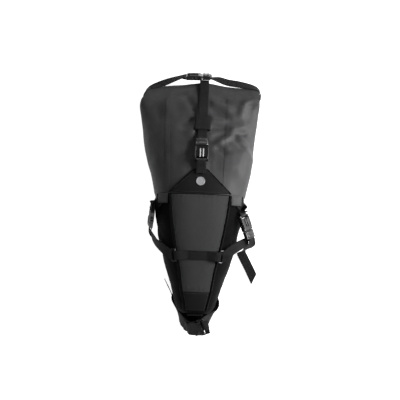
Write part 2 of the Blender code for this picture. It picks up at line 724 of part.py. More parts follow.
def seatpost_straps():
    """The long band passes through the ring and folds back on itself; a short tab holds the ring."""
    centre, way, lean, face = band_ring_frame()
    half = lean * BAND_HALF
    front = face if face.y < 0 else -face
    reach = front * (RING_WIRE + GAP + BAND_THICK / 2 + 0.2)

    def ends(stations):
        return [(Vector(p), Vector(h) * BAND_HALF) for p, h in stations]

    loop = turn_about(centre - way * BAND_RING_SIZE[0] / 2, -reach, way, 180, 8, half)
    lead = [*ends(BAND_LEAD), (Vector((-9, -26.5, 0)), half)]
    over = [(Vector(p), half) for p in BAND_OVER]
    path = eased([*lead, loop[0]], 4) + loop[1:-1] + eased([loop[-1], *over], 4)
    strap("seatpost_strap", path, thickness=BAND_THICK)

    far = centre + way * BAND_RING_SIZE[0] / 2
    back = turn_about(far, reach, way * -1, 180, 8, half)
    folded = [(far + way * 8 + reach * 0.3 + Vector((0, -1.6, 0)), half)]
    home = eased([back[-1], *ends(BAND_HOME)], 4)
    strap("seatpost_ring_tab", folded + back[:-1] + home, thickness=BAND_THICK)


def nose_pad():
    """A flat rubber pad, with its front face in the plane of the origin."""
    width, height = PAD_SIZE
    pad = block(width, 0, PAD_THICK, height)
    mesh = carved("seatpost_pad", pad, [], [], 1.5)
    add("seatpost_pad", mesh, "rubber")


def flat_sheet(name, stations, low, thickness, kind):
    """A level sheet through (place along the bag, half width) stations."""
    points = []
    for z in (low, low + thickness):
        points += [(-half, y, z) for y, half in stations]
        points += [(half, y, z) for y, half in reversed(stations)]
    count = 2 * len(stations)
    faces = [tuple(range(count)), tuple(range(count, 2 * count))]
    faces += [(i, (i + 1) % count, count + (i + 1) % count, count + i) for i in range(count)]
    add(name, closed_mesh(name, points, faces), kind)


def underside_panel():
    """The wear panel that the bag lies on, flat on the floor."""
    flat_sheet("underside_panel", ((112, 36), (170, 50), (280, 58), (372, 56)), FLOOR, 1.9, "patch_fabric")


def base_stiffener():
    """The plastic sheet inside the nose's floor that keeps it from sagging."""
    flat_sheet("base_stiffener", ((72, 22), (120, 34), (240, 44)), STIFFENER_FLOOR, 1.6, "stiffener_sheet")


def build():
    clear_scene()
    shell("nose_shell", [NOSE_FRONT, 8, 14, 26, *spread(44, BORDER - GAP / 2, 10)], "nose_fabric", True)
    shell("main_body", spread(BORDER + GAP / 2, MOUTH, 12), "body_fabric", False)
    panels()
    emblem()
    pipings()
    cross_strap()
    rail_rings()
    buckles()
    closure_anchor()
    closure_strap()
    keeper()
    rolled_mouth()
    mouth_stiffener()
    roll_tabs()
    rail_anchor("right", 1)
    rail_strap("right", 1, RIGHT_ROUTE, RIGHT_TAIL)
    rail_anchor("left", -1)
    rail_strap("left", -1, LEFT_ROUTE, LEFT_TAIL)
    seatpost_ring()
    seatpost_straps()
    nose_pad()
    underside_panel()
    base_stiffener()


build()
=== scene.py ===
"""Looks of the roll-top saddle bag: fabric with its creases, panels, webbing, buckles and rings."""
import json
import math

import bmesh
import bpy
import numpy as np
from mathutils import Matrix, Vector


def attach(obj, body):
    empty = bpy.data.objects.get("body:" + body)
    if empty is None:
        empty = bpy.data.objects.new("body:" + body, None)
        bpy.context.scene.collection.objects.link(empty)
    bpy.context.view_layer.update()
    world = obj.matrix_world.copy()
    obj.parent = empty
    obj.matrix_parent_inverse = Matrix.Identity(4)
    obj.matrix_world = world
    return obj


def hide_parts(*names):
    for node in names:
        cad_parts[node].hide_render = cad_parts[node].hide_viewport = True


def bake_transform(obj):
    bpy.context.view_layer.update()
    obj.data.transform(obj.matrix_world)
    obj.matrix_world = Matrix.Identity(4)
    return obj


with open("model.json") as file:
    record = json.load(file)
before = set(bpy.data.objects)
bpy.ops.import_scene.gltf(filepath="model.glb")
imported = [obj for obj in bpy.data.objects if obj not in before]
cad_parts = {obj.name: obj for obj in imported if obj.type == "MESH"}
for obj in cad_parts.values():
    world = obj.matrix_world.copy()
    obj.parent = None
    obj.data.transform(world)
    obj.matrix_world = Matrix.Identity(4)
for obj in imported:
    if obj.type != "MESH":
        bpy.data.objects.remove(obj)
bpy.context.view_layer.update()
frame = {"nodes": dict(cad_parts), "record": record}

MM = 0.001

# ------------------------------------------------------------- the body's shape, in millimetres
FLOOR = -60.0
BORDER = 256.0
HALF_WIDTH = ((4, 28), (14, 39), (62, 55), (127, 75.5), (194, 90.5), (264, 99), (366, 116.5),
              (443, 128), (468, 126), (500, 122))
TOP = ((4, 30), (14, 39), (60, 57), (120, 77), (200, 92), (260, 92), (330, 79), (400, 47), (443, 22),
       (468, 9.5), (484, 5.0))
UNDER = ((4, -38), (14, -47), (40, -54), (100, -57.3), (170, -57.3), (320, -57.3), (400, -55),
         (443, -42), (456, -27), (468, -10), (478, 1.0), (484, 1.6))
SQUARENESS = ((4, 2.9), (100, 2.6), (300, 2.5), (440, 2.2), (484, 3.6))
# the filled tube hangs fuller on its left and is drawn in on its right
LEFT_FULLNESS = ((256, 0), (300, 4), (330, 7), (392, 8.3), (438, 10.8), (462, 12), (474, 11), (486, 7),
                 (500, 5))
RIGHT_FULLNESS = ((256, 0), (330, 0), (392, -4), (438, -7), (462, -4), (484, -1), (500, -1))
SEAM = ((8, 21), (47, 29.4), (99, 37.5), (144, 46.7), (206, 57.5), (256, 63))
APEX, TRIANGLE_FOOT, TRIANGLE_HALF = 311.0, 258.5, 66.0
ANCHOR_PATCH = (76.5, 246.5, 10.0)
WEB_WIDTH, WEB_THICK = 20.0, 1.5
RING_SIZE, RING_WIRE, RING_AT = (8.8, 25.6), 1.5, (46.5, 129.0)
LOOP = RING_WIRE + 0.4 + WEB_THICK / 2 + 0.35
BUCKLES = {
    "closure": ((0.0, 356.0), None, None),
    "rail_right": ((104.0, 186.0, 58.0), (0.36, -0.93, -0.10), (0.75, 0.22, 0.62)),
    "rail_left": ((-101.5, 205.0, 32.0), (-0.08, -0.62, -0.78), (-0.98, 0.05, 0.10)),
    "roll": ((-6.0, 519.0, -8.0), (1.0, 0.03, 0.0), (0.0, 0.93, 0.37)),
}
CLOSURE_LIFT = 6.6
SOCKET_LENGTH, HOOD_LENGTH = 34.0, 18.0
SOCKET_BAR, PLUG_BAR = -32.3, 9.3
ROLL_CENTRE, ROLL_SEMI, ROLL_HALF = (488.5, -9.0), (17.5, 13.5), 121.5
SHARP = math.radians(50)
SIDES = (("left", -1), ("right", 1))
# the fabric lies this far inside the smooth shape; the mouth is drawn in between these two places
SKIN, DRAWN_IN = 0.6, (446, 485)


# ------------------------------------------------------------- curves and noise
def along(profile, at):
    """A smooth curve through (place, value) pairs, for one place or an array of them."""
    at = np.clip(np.asarray(at, float), profile[0][0], profile[-1][0])
    x = np.array([p[0] for p in profile], float)
    v = np.array([p[1] for p in profile], float)
    before = np.maximum(np.arange(len(x)) - 1, 0)
    after = np.minimum(np.arange(len(x)) + 1, len(x) - 1)
    slope = (v[after] - v[before]) / (x[after] - x[before])
    i = np.clip(np.searchsorted(x, at, side="right") - 1, 0, len(x) - 2)
    span = x[i + 1] - x[i]
    t = (at - x[i]) / span
    rise = (1 + 2 * t) * (1 - t) ** 2 * v[i] + t * t * (3 - 2 * t) * v[i + 1]
    return rise + span * (t * (1 - t) ** 2 * slope[i] + t * t * (t - 1) * slope[i + 1])


def ripple(points, size, seed, octaves=3):
    """Smooth seeded unevenness in -1..1, with waves about that many millimetres long."""
    random = np.random.default_rng(seed)
    total = np.zeros(len(points))
    weight = 0.0
    for octave in range(octaves):
        for _ in range(7):
            way = random.normal(size=3)
            way /= np.linalg.norm(way)
            length = size / 2 ** octave * random.uniform(0.75, 1.4)
            phase = random.uniform(0, 2 * math.pi)
            total += np.sin(points @ way * 2 * math.pi / length + phase) / 2 ** octave
        weight += 2.0 / 2 ** octave
    return total / weight


def smoothstep(low, high, x):
    t = np.clip((x - low) / (high - low), 0, 1)
    return t * t * (3 - 2 * t)


def near_line(x, y, a, b):
    """Signed distance from the line a-b, and how far along it, 0 to 1."""
    ax, ay = a
    dx, dy = b[0] - ax, b[1] - ay
    length = math.hypot(dx, dy)
    t = ((x - ax) * dx + (y - ay) * dy) / length ** 2
    return ((x - ax) * -dy + (y - ay) * dx) / length, t


# a crease: from, to, depth, half width; the fabric stands up beside it on the side of the shoulder
CREASES = (
    ((66, 389), (96, 396), 4.6, 7.0), ((30, 366), (66, 388), -5.0, 7.0), ((66, 384), (88, 360), 5.4, 6.5),
    ((70, 380), (106, 336), -3.4, 9.0), ((30, 358), (52, 345), 3.4, 7.0), ((8, 404), (50, 404), 5.6, 8.0),
    ((10, 446), (54, 428), 5.4, 9.0), ((-42, 478), (-14, 438), 4.4, 9.0), ((118, 494), (88, 466), -6.0, 8.0),
    ((90, 470), (80, 432), -4.2, 9.0), ((-108, 462), (-92, 418), 2.6, 15.0), ((-100, 376), (-66, 322), 1.4, 16.0),
    ((102, 430), (108, 384), 2.0, 10.0), ((66, 336), (92, 310), 1.2, 10.0), ((-12, 424), (-46, 402), 4.0, 10.0),
    ((-22, 352), (-62, 330), 2.0, 12.0), ((-70, 474), (-60, 430), 1.2, 14.0), ((20, 478), (52, 466), 2.6, 8.0),
)


def creases(x, y):
    total = np.zeros(len(x))
    for a, b, depth, half in CREASES:
        off, t = near_line(x, y, a, b)
        fade = smoothstep(-0.25, 0.2, t) * smoothstep(1.25, 0.8, t)
        shoulder = 0.55 * np.exp(-((off - 2.1 * half) / half) ** 2)
        total -= fade * depth * (np.exp(-(off / half) ** 2) - shoulder)
    return total


def unevenness(points):
    """How far the fabric stands off the smooth shape, along its normal."""
    x, y, z = points.T
    upper = smoothstep(-10, 25, z - (along(TOP, y) + along(UNDER, y)) / 2)
    soft = smoothstep(255, 330, y)
    sewn = smoothstep(70, 95, np.abs(x)) + soft
    sewn = np.clip(sewn + (1 - upper), 0, 1)
    flat_bottom = smoothstep(FLOOR + 1, FLOOR + 14, z)
    pressed = 1 - upper * smoothstep(290, 310, y) * (1 - smoothstep(9, 22, np.abs(x)))
    broad = ripple(points * np.array([1.0, 0.55, 1.0]), 170, 3, 2) * (1.2 + 3.2 * soft)
    broad *= 1 - 0.5 * smoothstep(0, -50, x)
    fine = ripple(points * np.array([1.0, 0.5, 1.0]), 44, 11, 2) * (0.3 + 0.3 * soft)
    end = smoothstep(470, 450, y)
    result = (broad * (0.2 + 0.8 * end) + fine) * (0.15 + 0.85 * sewn)
    result += creases(x, y) * upper * soft * smoothstep(486, 470, y)
    result *= 0.1 + 0.9 * pressed
    return result * flat_bottom - SKIN * flat_bottom


def section(y, side):
    """Half width on that side, middle height, half height and squareness of the body at y."""
    top, under = along(TOP, y), along(UNDER, y)
    fullness = np.where(side < 0, along(LEFT_FULLNESS, y), along(RIGHT_FULLNESS, y))
    return along(HALF_WIDTH, y) + fullness, (top + under) / 2, (top - under) / 2, along(SQUARENESS, y)


def smooth_top(x, y):
    half, middle, height, power = section(y, x)
    rise = np.maximum(1 - (np.abs(x) / half) ** power, 0.0) ** (1 / power)
    return np.stack([x, y, middle + height * rise], axis=-1)


def top_normals(x, y):
    step = 1.0
    across = smooth_top(x + step, y) - smooth_top(x - step, y)
    lengthways = smooth_top(x, y + step) - smooth_top(x, y - step)
    normal = np.cross(across, lengthways)
    return normal / np.linalg.norm(normal, axis=-1, keepdims=True)


def bow(x):
    """How far the roll is drawn back under the strap and drops towards its ends."""
    return 2 - 8 * (1 - np.exp(-(x / 38) ** 2)) - 6 * smoothstep(60, 122, -x)


def lifted_all(x, y, height):
    """Points over the upper surface, at a height off the uneven fabric."""
    x, y = np.asarray(x, float), np.asarray(y, float)
    base = smooth_top(x, y)
    result = base + top_normals(x, y) * (np.asarray(height) + unevenness(base) + SKIN)[:, None]
    result[:, 1] += bow(result[:, 0]) * smoothstep(*DRAWN_IN, result[:, 1])
    return result


def lifted(x, y, height):
    """A point over the smooth upper surface, as in the CAD."""
    base = smooth_top(np.array([float(x)]), np.array([float(y)]))[0]
    return Vector(base + top_normals(np.array([float(x)]), np.array([float(y)]))[0] * height)


def top_normal(x, y):
    return Vector(top_normals(np.array([float(x)]), np.array([float(y)]))[0])


def lengthways_on_top(x, y):
    return (lifted(x, y + 1.0, 0) - lifted(x, y - 1.0, 0)).normalized()


def spread(start, end, steps):
    return [start + (end - start) * i / steps for i in range(steps + 1)]


# ------------------------------------------------------------- materials
def node_of(nodes, kind, **values):
    made = nodes.new(kind)
    for key, value in values.items():
        if key in made.inputs:
            made.inputs[key].default_value = value
        else:
            setattr(made, key, value)
    return made


class Paint:
    """One material being wired: a Principled BSDF with colour, roughness and bump built up."""

    def __init__(self, name, colour, roughness, metallic=0.0, specular=0.2):
        self.material = bpy.data.materials.new(name)
        self.material.use_nodes = True
        self.nodes, self.links = self.material.node_tree.nodes, self.material.node_tree.links
        self.shader = self.nodes["Principled BSDF"]
        self.shader.inputs["Base Color"].default_value = (*colour, 1)
        self.shader.inputs["Roughness"].default_value = roughness
        self.shader.inputs["Metallic"].default_value = metallic
        self.shader.inputs["Specular IOR Level"].default_value = specular
        self.colour = colour
        self.place = self.nodes.new("ShaderNodeTexCoord")

    def coordinates(self, kind, scale):
        mapping = node_of(self.nodes, "ShaderNodeMapping", Scale=scale)
        self.links.new(self.place.outputs[kind], mapping.inputs["Vector"])
        return mapping.outputs["Vector"]

    def wave(self, kind, scale, direction, distortion=0.0, profile="SIN"):
        wave = node_of(self.nodes, "ShaderNodeTexWave", Scale=1.0, Distortion=distortion,
                       bands_direction=direction, wave_profile=profile)
        self.links.new(self.coordinates(kind, scale), wave.inputs["Vector"])
        return wave.outputs["Fac"]

    def noise(self, kind, scale, detail=3.0, roughness=0.6):
        noise = node_of(self.nodes, "ShaderNodeTexNoise", Scale=1.0, Detail=detail, Roughness=roughness)
        self.links.new(self.coordinates(kind, scale), noise.inputs["Vector"])
        return noise.outputs["Fac"]

    def math(self, operation, a, b):
        made = node_of(self.nodes, "ShaderNodeMath", operation=operation)
        for socket, value in zip(made.inputs, (a, b)):
            if isinstance(value, (int, float)):
                socket.default_value = value
            else:
                self.links.new(value, socket)
        return made.outputs[0]

    def ramp(self, factor, low, high, from_low=0.0, from_high=1.0):
        made = node_of(self.nodes, "ShaderNodeMapRange")
        made.inputs["From Min"].default_value = from_low
        made.inputs["From Max"].default_value = from_high
        made.inputs["To Min"].default_value = low
        made.inputs["To Max"].default_value = high
        self.links.new(factor, made.inputs["Value"])
        return made.outputs["Result"]

    def shade(self, factor, low, high):
        """The base colour times a number that runs from low to high with the factor."""
        mix = self.nodes.new("ShaderNodeMix")
        mix.data_type = "RGBA"
        mix.inputs["A"].default_value = (*[c * low for c in self.colour], 1)
        mix.inputs["B"].default_value = (*[c * high for c in self.colour], 1)
        self.links.new(factor, mix.inputs["Factor"])
        self.links.new(mix.outputs["Result"], self.shader.inputs["Base Color"])

    def rough(self, factor, low, high):
        self.links.new(self.ramp(factor, low, high), self.shader.inputs["Roughness"])

    def bump(self, height, strength, distance):
        bump = node_of(self.nodes, "ShaderNodeBump", Strength=strength, Distance=distance)
        self.links.new(height, bump.inputs["Height"])
        if self.shader.inputs["Normal"].is_linked:
            self.links.new(self.shader.inputs["Normal"].links[0].from_socket, bump.inputs["Normal"])
        self.links.new(bump.outputs["Normal"], self.shader.inputs["Normal"])


def woven(name, colour, roughness, thread, bump, specular=0.2, contrast=0.18, blotch=0.12):
    """Plain weave in UV millimetres: over and under threads, slubs, and slow changes of tone."""
    paint = Paint(name, colour, roughness, specular=specular)
    turns = 2 * math.pi / thread / 20 * 10
    warp = paint.wave("UV", (turns, turns, turns), "X")
    weft = paint.wave("UV", (turns, turns, turns), "Y")
    weave = paint.math("MULTIPLY", warp, weft)
    slub = paint.noise("UV", (0.9 / thread, 0.16 / thread, 1), 2)
    slow = paint.noise("UV", (0.028, 0.02, 1), 4, 0.62)
    mixed = paint.math("ADD", paint.math("MULTIPLY", weave, contrast), paint.math("MULTIPLY", slub, contrast))
    tone = paint.math("ADD", mixed, paint.math("MULTIPLY", slow, blotch * 4))
    full = 2 * contrast + blotch * 4
    paint.shade(paint.ramp(tone, 0, 1, 0, full), 1 - contrast - blotch, 1 + contrast + blotch)
    paint.rough(slow, roughness - 0.08, roughness + 0.08)
    paint.bump(weave, bump, 0.25 * MM)
    paint.bump(slow, 0.12, 1.2 * MM)
    return paint.material


def webbing_paint(name, colour, pitch=1.6, specular=0.18):
    """Ribbed nylon: cords along it, crossed by a fine herringbone."""
    paint = Paint(name, colour, 0.68, specular=specular)
    turn = 2 * math.pi / 20 * 10
    cords = paint.wave("UV", (turn / pitch, turn / pitch, 1), "X")
    cross = paint.wave("UV", (turn / 0.9, turn / 0.9, 1), "DIAGONAL")
    fuzz = paint.noise("UV", (1.2, 1.2, 1), 3)
    rib = paint.math("ADD", paint.math("MULTIPLY", cords, 0.7), paint.math("MULTIPLY", cross, 0.3))
    tone = paint.math("ADD", paint.math("MULTIPLY", rib, 0.6), paint.math("MULTIPLY", fuzz, 0.4))
    paint.shade(tone, 0.62, 1.45)
    paint.rough(fuzz, 0.58, 0.8)
    paint.bump(rib, 0.7, 0.35 * MM)
    return paint.material


def moulded(name, colour, roughness, specular=0.5):
    """Moulded nylon: faint texture, scuffs, and slow changes of gloss."""
    paint = Paint(name, colour, roughness, specular=specular)
    grain = paint.noise("Object", (2600, 2600, 2600), 2)
    scuff = paint.noise("Object", (160, 420, 160), 5, 0.7)
    paint.shade(scuff, 0.75, 1.5)
    paint.rough(scuff, roughness - 0.08, roughness + 0.14)
    paint.bump(grain, 0.15, 0.05 * MM)
    return paint.material


def steel(name, colour, roughness):
    paint = Paint(name, colour, roughness, metallic=1.0, specular=0.5)
    worn = paint.noise("Object", (300, 300, 300), 5, 0.7)
    lines = paint.noise("Object", (150, 3000, 150), 2)
    paint.shade(worn, 0.7, 1.2)
    paint.rough(lines, roughness - 0.07, roughness + 0.1)
    return paint.material


PAINTS = {
    "body_fabric": woven("body_fabric_weave", (0.0355, 0.0355, 0.0368), 0.55, 0.9, 0.35, 0.24, 0.10, 0.07),
    "nose_fabric": woven("nose_fabric_weave", (0.0026, 0.0026, 0.0028), 0.7, 0.8, 0.45, 0.04, 0.2, 0.14),
    "panel_fabric": woven("panel_fabric_weave", (0.040, 0.040, 0.0408), 0.72, 1.5, 0.7, 0.08, 0.22, 0.08),
    "patch_fabric": woven("patch_fabric_weave", (0.0085, 0.0085, 0.0088), 0.62, 0.8, 0.3, 0.08, 0.15, 0.12),
    "grip_patch": woven("grip_patch_weave", (0.058, 0.058, 0.059), 0.7, 1.1, 0.5, 0.15, 0.16, 0.06),
    "webbing": webbing_paint("webbing_ribs", (0.0095, 0.0095, 0.0098), 1.6, 0.1),
    "band": webbing_paint("band_loops", (0.016, 0.016, 0.0165), 1.1, 0.06),
    "buckle_plastic": moulded("buckle_nylon", (0.006, 0.006, 0.0062), 0.27, 0.45),
    "ring_steel": steel("ring_dark_plate", (0.055, 0.055, 0.057), 0.42),
    # painted highlight: the closure buckle's socket rims, hood and lip are lighter copies of the black buckle moulding
    "rim_painted_highlight": moulded("closure_socket_rims_painted_light", (0.022, 0.022, 0.023), 0.26, 0.8),
    "hood_painted_highlight": moulded("closure_hood_lip_painted_light", (0.02, 0.02, 0.021), 0.2, 1.0),
    # painted highlight: the closure buckle's thumb rails are light grey, standing in for highlights on black plastic
    "rail_painted_highlight": moulded("closure_thumb_rails_painted_light", (0.30, 0.30, 0.305), 0.25, 1.0),
    "rubber": moulded("pad_rubber", (0.006, 0.006, 0.0062), 0.75, 0.12),
    "stiffener_sheet": moulded("stiffener_plastic", (0.02, 0.02, 0.022), 0.5, 0.3),
    "thread": moulded("sewing_thread", (0.028, 0.028, 0.030), 0.6, 0.2),
    "thread_grey": moulded("sewing_thread_grey", (0.075, 0.076, 0.08), 0.6, 0.2),
}


def reflector_paint():
    """Reflective film: fine hexagon cells under a satin face."""
    paint = Paint("reflective_film_cells", (0.27, 0.27, 0.28), 0.36, specular=0.4)
    cells = node_of(paint.nodes, "ShaderNodeTexVoronoi", Scale=1.0, feature="DISTANCE_TO_EDGE")
    paint.links.new(paint.coordinates("Object", (900, 900, 900)), cells.inputs["Vector"])
    edge = paint.ramp(cells.outputs["Distance"], 0, 1, 0, 0.12)
    paint.shade(edge, 0.6, 1.1)
    paint.rough(edge, 0.5, 0.3)
    paint.bump(edge, 0.3, 0.05 * MM)
    return paint.material


PAINTS["reflective_film"] = reflector_paint()


# ------------------------------------------------------------- mesh helpers
def grid_object(name, points, paint, uv, wrap=False, caps=False, smooth=True):
    """A mesh from a rows x columns grid of millimetre points, with UVs in millimetres."""
    rows, columns = points.shape[:2]
    index = np.arange(rows * columns).reshape(rows, columns)
    a, b = index[:-1], index[1:]
    if wrap:
        nxt_a, nxt_b = np.roll(a, -1, axis=1), np.roll(b, -1, axis=1)
    else:
        a, nxt_a, b, nxt_b = a[:, :-1], a[:, 1:], b[:, :-1], b[:, 1:]
    quads = np.stack([a, nxt_a, nxt_b, b], axis=-1).reshape(-1, 4)
    faces = [tuple(q) for q in quads.tolist()]
    if caps:
        faces += [tuple(index[0][::-1].tolist()), tuple(index[-1].tolist())]
    mesh = bpy.data.meshes.new(name)
    mesh.from_pydata((points.reshape(-1, 3) * MM).tolist(), [], faces)
    layer = mesh.uv_layers.new(name="weave")
    flat = uv.reshape(-1, 2)
    loops = np.zeros(len(mesh.loops), int)
    mesh.loops.foreach_get("vertex_index", loops)
    coordinates = flat[loops].copy()
    if wrap:
        last = quads.shape[0] * 4
        corner = coordinates[:last].reshape(-1, 4, 2)
        around = flat[:, 0].max() + (flat[1, 0] - flat[0, 0])
        seam = corner[:, 1, 0] < corner[:, 0, 0] - around / 2
        corner[seam, 1, 0] += around
        corner[seam, 2, 0] += around
        coordinates[:last] = corner.reshape(-1, 2)
    layer.data.foreach_set("uv", coordinates.reshape(-1).astype(np.float32))
    if smooth:
        mesh.shade_smooth()
        mesh.set_sharp_from_angle(angle=SHARP)
    thing = bpy.data.objects.new(name, mesh)
    bpy.context.scene.collection.objects.link(thing)
    mesh.materials.append(PAINTS[paint])
    return thing


def outward(thing):
    """Turns a closed mesh's faces outwards."""
    shape = bmesh.new()
    shape.from_mesh(thing.data)
    bmesh.ops.recalc_face_normals(shape, faces=shape.faces)
    shape.to_mesh(thing.data)
    shape.free()
    return thing


def finish_piece(thing, slot, *nodes, body="bag"):
    if nodes:
        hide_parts(*nodes)
    if body:
        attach(thing, body)
    return thing


# ------------------------------------------------------------- the fabric body
AROUND = 176


def ring_rows(stations):
    """Rings of points through the body's sections."""
    turn = 2 * math.pi * (np.arange(AROUND) + 0.5) / AROUND
    c, s = np.cos(turn), np.sin(turn)
    rows = []
    for y in stations:
        half, middle, height, power = section(y, c)
        x = half * np.sign(c) * np.abs(c) ** (2 / power)
        z = middle + height * np.sign(s) * np.abs(s) ** (2 / power)
        rows.append(np.stack([x, np.full(AROUND, y), z], axis=-1))
    return rows


def even_ring(row):
    """The same ring with its points spaced evenly round it."""
    closed = np.vstack([row, row[:1]])
    step = np.linalg.norm(np.diff(closed, axis=0), axis=1)
    place = np.concatenate([[0], np.cumsum(step)])
    wanted = np.linspace(0, place[-1], len(row), endpoint=False)
    return np.stack([np.interp(wanted, place, closed[:, k]) for k in range(3)], axis=-1)


def grid_normals(grid):
    around = np.roll(grid, -1, axis=1) - np.roll(grid, 1, axis=1)
    lengthways = np.gradient(grid, axis=0)
    normal = np.cross(around, lengthways)
    normal /= np.linalg.norm(normal, axis=-1, keepdims=True) + 1e-9
    return -normal


def ring_uv(grid):
    """Millimetres round the bag and along it."""
    rows, columns = grid.shape[:2]
    girth = np.linalg.norm(np.roll(grid, -1, axis=1) - grid, axis=-1).sum(axis=1).mean()
    u = np.tile(np.arange(columns) / columns * girth, (rows, 1))
    v = np.concatenate([[0], np.cumsum(np.linalg.norm(np.diff(grid, axis=0), axis=-1).mean(axis=1))])
    return np.stack([u, np.tile(v[:, None], (1, columns))], axis=-1)


def roll_rows():
    """The flattened tube's two layers, wound together round the stiffener."""
    turn = 2 * math.pi * (np.arange(AROUND) + 0.5) / AROUND
    c, s = np.cos(turn), np.sin(turn)
    x_unit = np.sign(c) * np.abs(c) ** (2 / 3.6)
    n_unit = np.sign(s) * np.abs(s) ** (2 / 3.6)
    (yc, zc), (ry, rz) = ROLL_CENTRE, ROLL_SEMI
    rows = []
    for step in range(1, 75):
        angle = math.radians(100 - step * 8.0)
        inward = 2.4 + 4.4 * step / 45
        ey, ez = math.cos(angle), math.sin(angle)
        centre = np.array([0, yc + (ry - inward) * ey, zc + (rz - inward) * ez])
        normal = np.array([0, ey / ry, ez / rz])
        normal /= np.linalg.norm(normal)
        half = ROLL_HALF - 2.5 * min(step / 12, 1) + 0.8 * math.sin(step * 1.7)
        points = np.outer(x_unit, [half, 0, 0]) + np.outer(n_unit, normal * 1.5) + centre
        points[:, 0] *= 1 + 0.07 * (x_unit < 0) * smoothstep(508, 484, centre[1])
        rows.append(points)
    return rows


def tube_fabric():
    stations = np.concatenate([np.linspace(BORDER - 34, 440, 132), np.linspace(441.5, 484, 34)])
    rows = [even_ring(row) for row in ring_rows(stations)]
    wound = [even_ring(row) for row in roll_rows()]
    grid = np.stack(rows + wound)
    normals = grid_normals(grid)
    offset = unevenness(grid.reshape(-1, 3)).reshape(grid.shape[:2])
    straight = np.arange(len(grid)) < len(rows)
    wrap_noise = ripple(grid.reshape(-1, 3), 40, 23).reshape(grid.shape[:2]) * 0.35
    offset = np.where(straight[:, None], offset, wrap_noise)
    offset -= 1.4 * smoothstep(BORDER + 3, BORDER - 4, grid[..., 1])
    grid = grid + normals * offset[..., None]
    drawn = np.where(straight[:, None], smoothstep(*DRAWN_IN, grid[..., 1]), 1.0)
    grid[..., 1] += bow(grid[..., 0]) * drawn
    uv = ring_uv(grid)
    thing = outward(grid_object("soft_tube", grid, "body_fabric", uv, wrap=True, caps=True))
    return finish_piece(thing, "body_fabric", "main_body", "rolled_mouth")


def nose_fabric():
    stations = np.concatenate([np.linspace(4.4, 16, 12), np.linspace(18, BORDER + 1.5, 110)])
    grid = np.stack([even_ring(row) for row in ring_rows(stations)])
    normals = grid_normals(grid)
    flat = grid.reshape(-1, 3)
    side = ripple(flat * np.array([0.5, 1.0, 0.6]), 52, 41) * 0.9
    band = smoothstep(BORDER - 8, BORDER - 6.5, flat[:, 1]) * 0.7
    front = smoothstep(4, 30, flat[:, 1])
    offset = (unevenness(flat) + side * front * smoothstep(FLOOR + 1, FLOOR + 14, flat[:, 2]) + band)
    grid = grid + normals * offset.reshape(grid.shape[:2])[..., None]
    hem = 2 * smoothstep(60, 68, np.abs(grid[..., 0])) + 14 * smoothstep(84, 98, np.abs(grid[..., 0]))
    grid[..., 1] -= hem * smoothstep(-30, 20, grid[..., 2]) * smoothstep(150, BORDER, grid[..., 1])
    thing = outward(grid_object("nose_cover", grid, "nose_fabric", ring_uv(grid), wrap=True, caps=True))
    return finish_piece(thing, "nose_fabric", "nose_shell")


def draped_panel(name, outline, across, lengthways, lift, thickness, paint, slot, *nodes, pucker=0.5):
    """A sewn panel over the fabric: outline(u, v) gives x, y for u in -1..1 and v in 0..1."""
    u = np.linspace(-1, 1, across)
    v = np.linspace(0, 1, lengthways)
    uu, vv = np.meshgrid(u, v)
    x, y = outline(uu.ravel(), vv.ravel())
    edge = np.minimum(1 - np.abs(uu.ravel()), np.minimum(vv.ravel(), 1 - vv.ravel()) * 2)
    width = np.abs(outline(np.array([1.0]), np.array([0.5]))[0] - outline(np.array([-1.0]), np.array([0.5]))[0])[0]
    inside = smoothstep(0, 1, np.clip(edge * width / 2 / 3.5, 0, 1))
    base = lifted_all(x, y, 0.0)
    pillow = ripple(base, 9, 5, 1) * pucker * np.clip(1 - edge * width / 2 / 10, 0, 1) * 0.5
    top = lifted_all(x, y, lift + thickness * (0.35 + 0.65 * inside) + pillow)
    low = lifted_all(x, y, lift - 0.6)
    shape = (lengthways, across)
    top, low = top.reshape(*shape, 3), low.reshape(*shape, 3)
    loop = lambda g: np.concatenate([g[0, :], g[1:, -1], g[-1, -2::-1], g[-2:0:-1, 0]])
    uv = np.stack([x, y], axis=-1).reshape(*shape, 2)
    thing = grid_object(name, top, paint, uv)
    shape_mesh = bmesh.new()
    shape_mesh.from_mesh(thing.data)
    layer = shape_mesh.loops.layers.uv.active
    size = across * lengthways
    index = np.arange(size).reshape(shape)
    under = [shape_mesh.verts.new(Vector(p) * MM) for p in low.reshape(-1, 3)]
    shape_mesh.verts.ensure_lookup_table()
    for r in range(lengthways - 1):
        for c in range(across - 1):
            ids = [index[r, c], index[r + 1, c], index[r + 1, c + 1], index[r, c + 1]]
            face = shape_mesh.faces.new([under[i] for i in ids])
            for corner, i in zip(face.loops, ids):
                corner[layer].uv = uv.reshape(-1, 2)[i]
    rim = loop(index).tolist()
    for i, j in zip(rim, rim[1:] + rim[:1]):
        face = shape_mesh.faces.new([shape_mesh.verts[j], shape_mesh.verts[i], under[i], under[j]])
        for corner, k in zip(face.loops, (j, i, i, j)):
            corner[layer].uv = uv.reshape(-1, 2)[k]
    bmesh.ops.recalc_face_normals(shape_mesh, faces=shape_mesh.faces)
    for face in shape_mesh.faces:
        face.smooth = True
    shape_mesh.to_mesh(thing.data)
    shape_mesh.free()
    thing.data.set_sharp_from_angle(angle=SHARP)
    return finish_piece(thing, slot, *nodes)


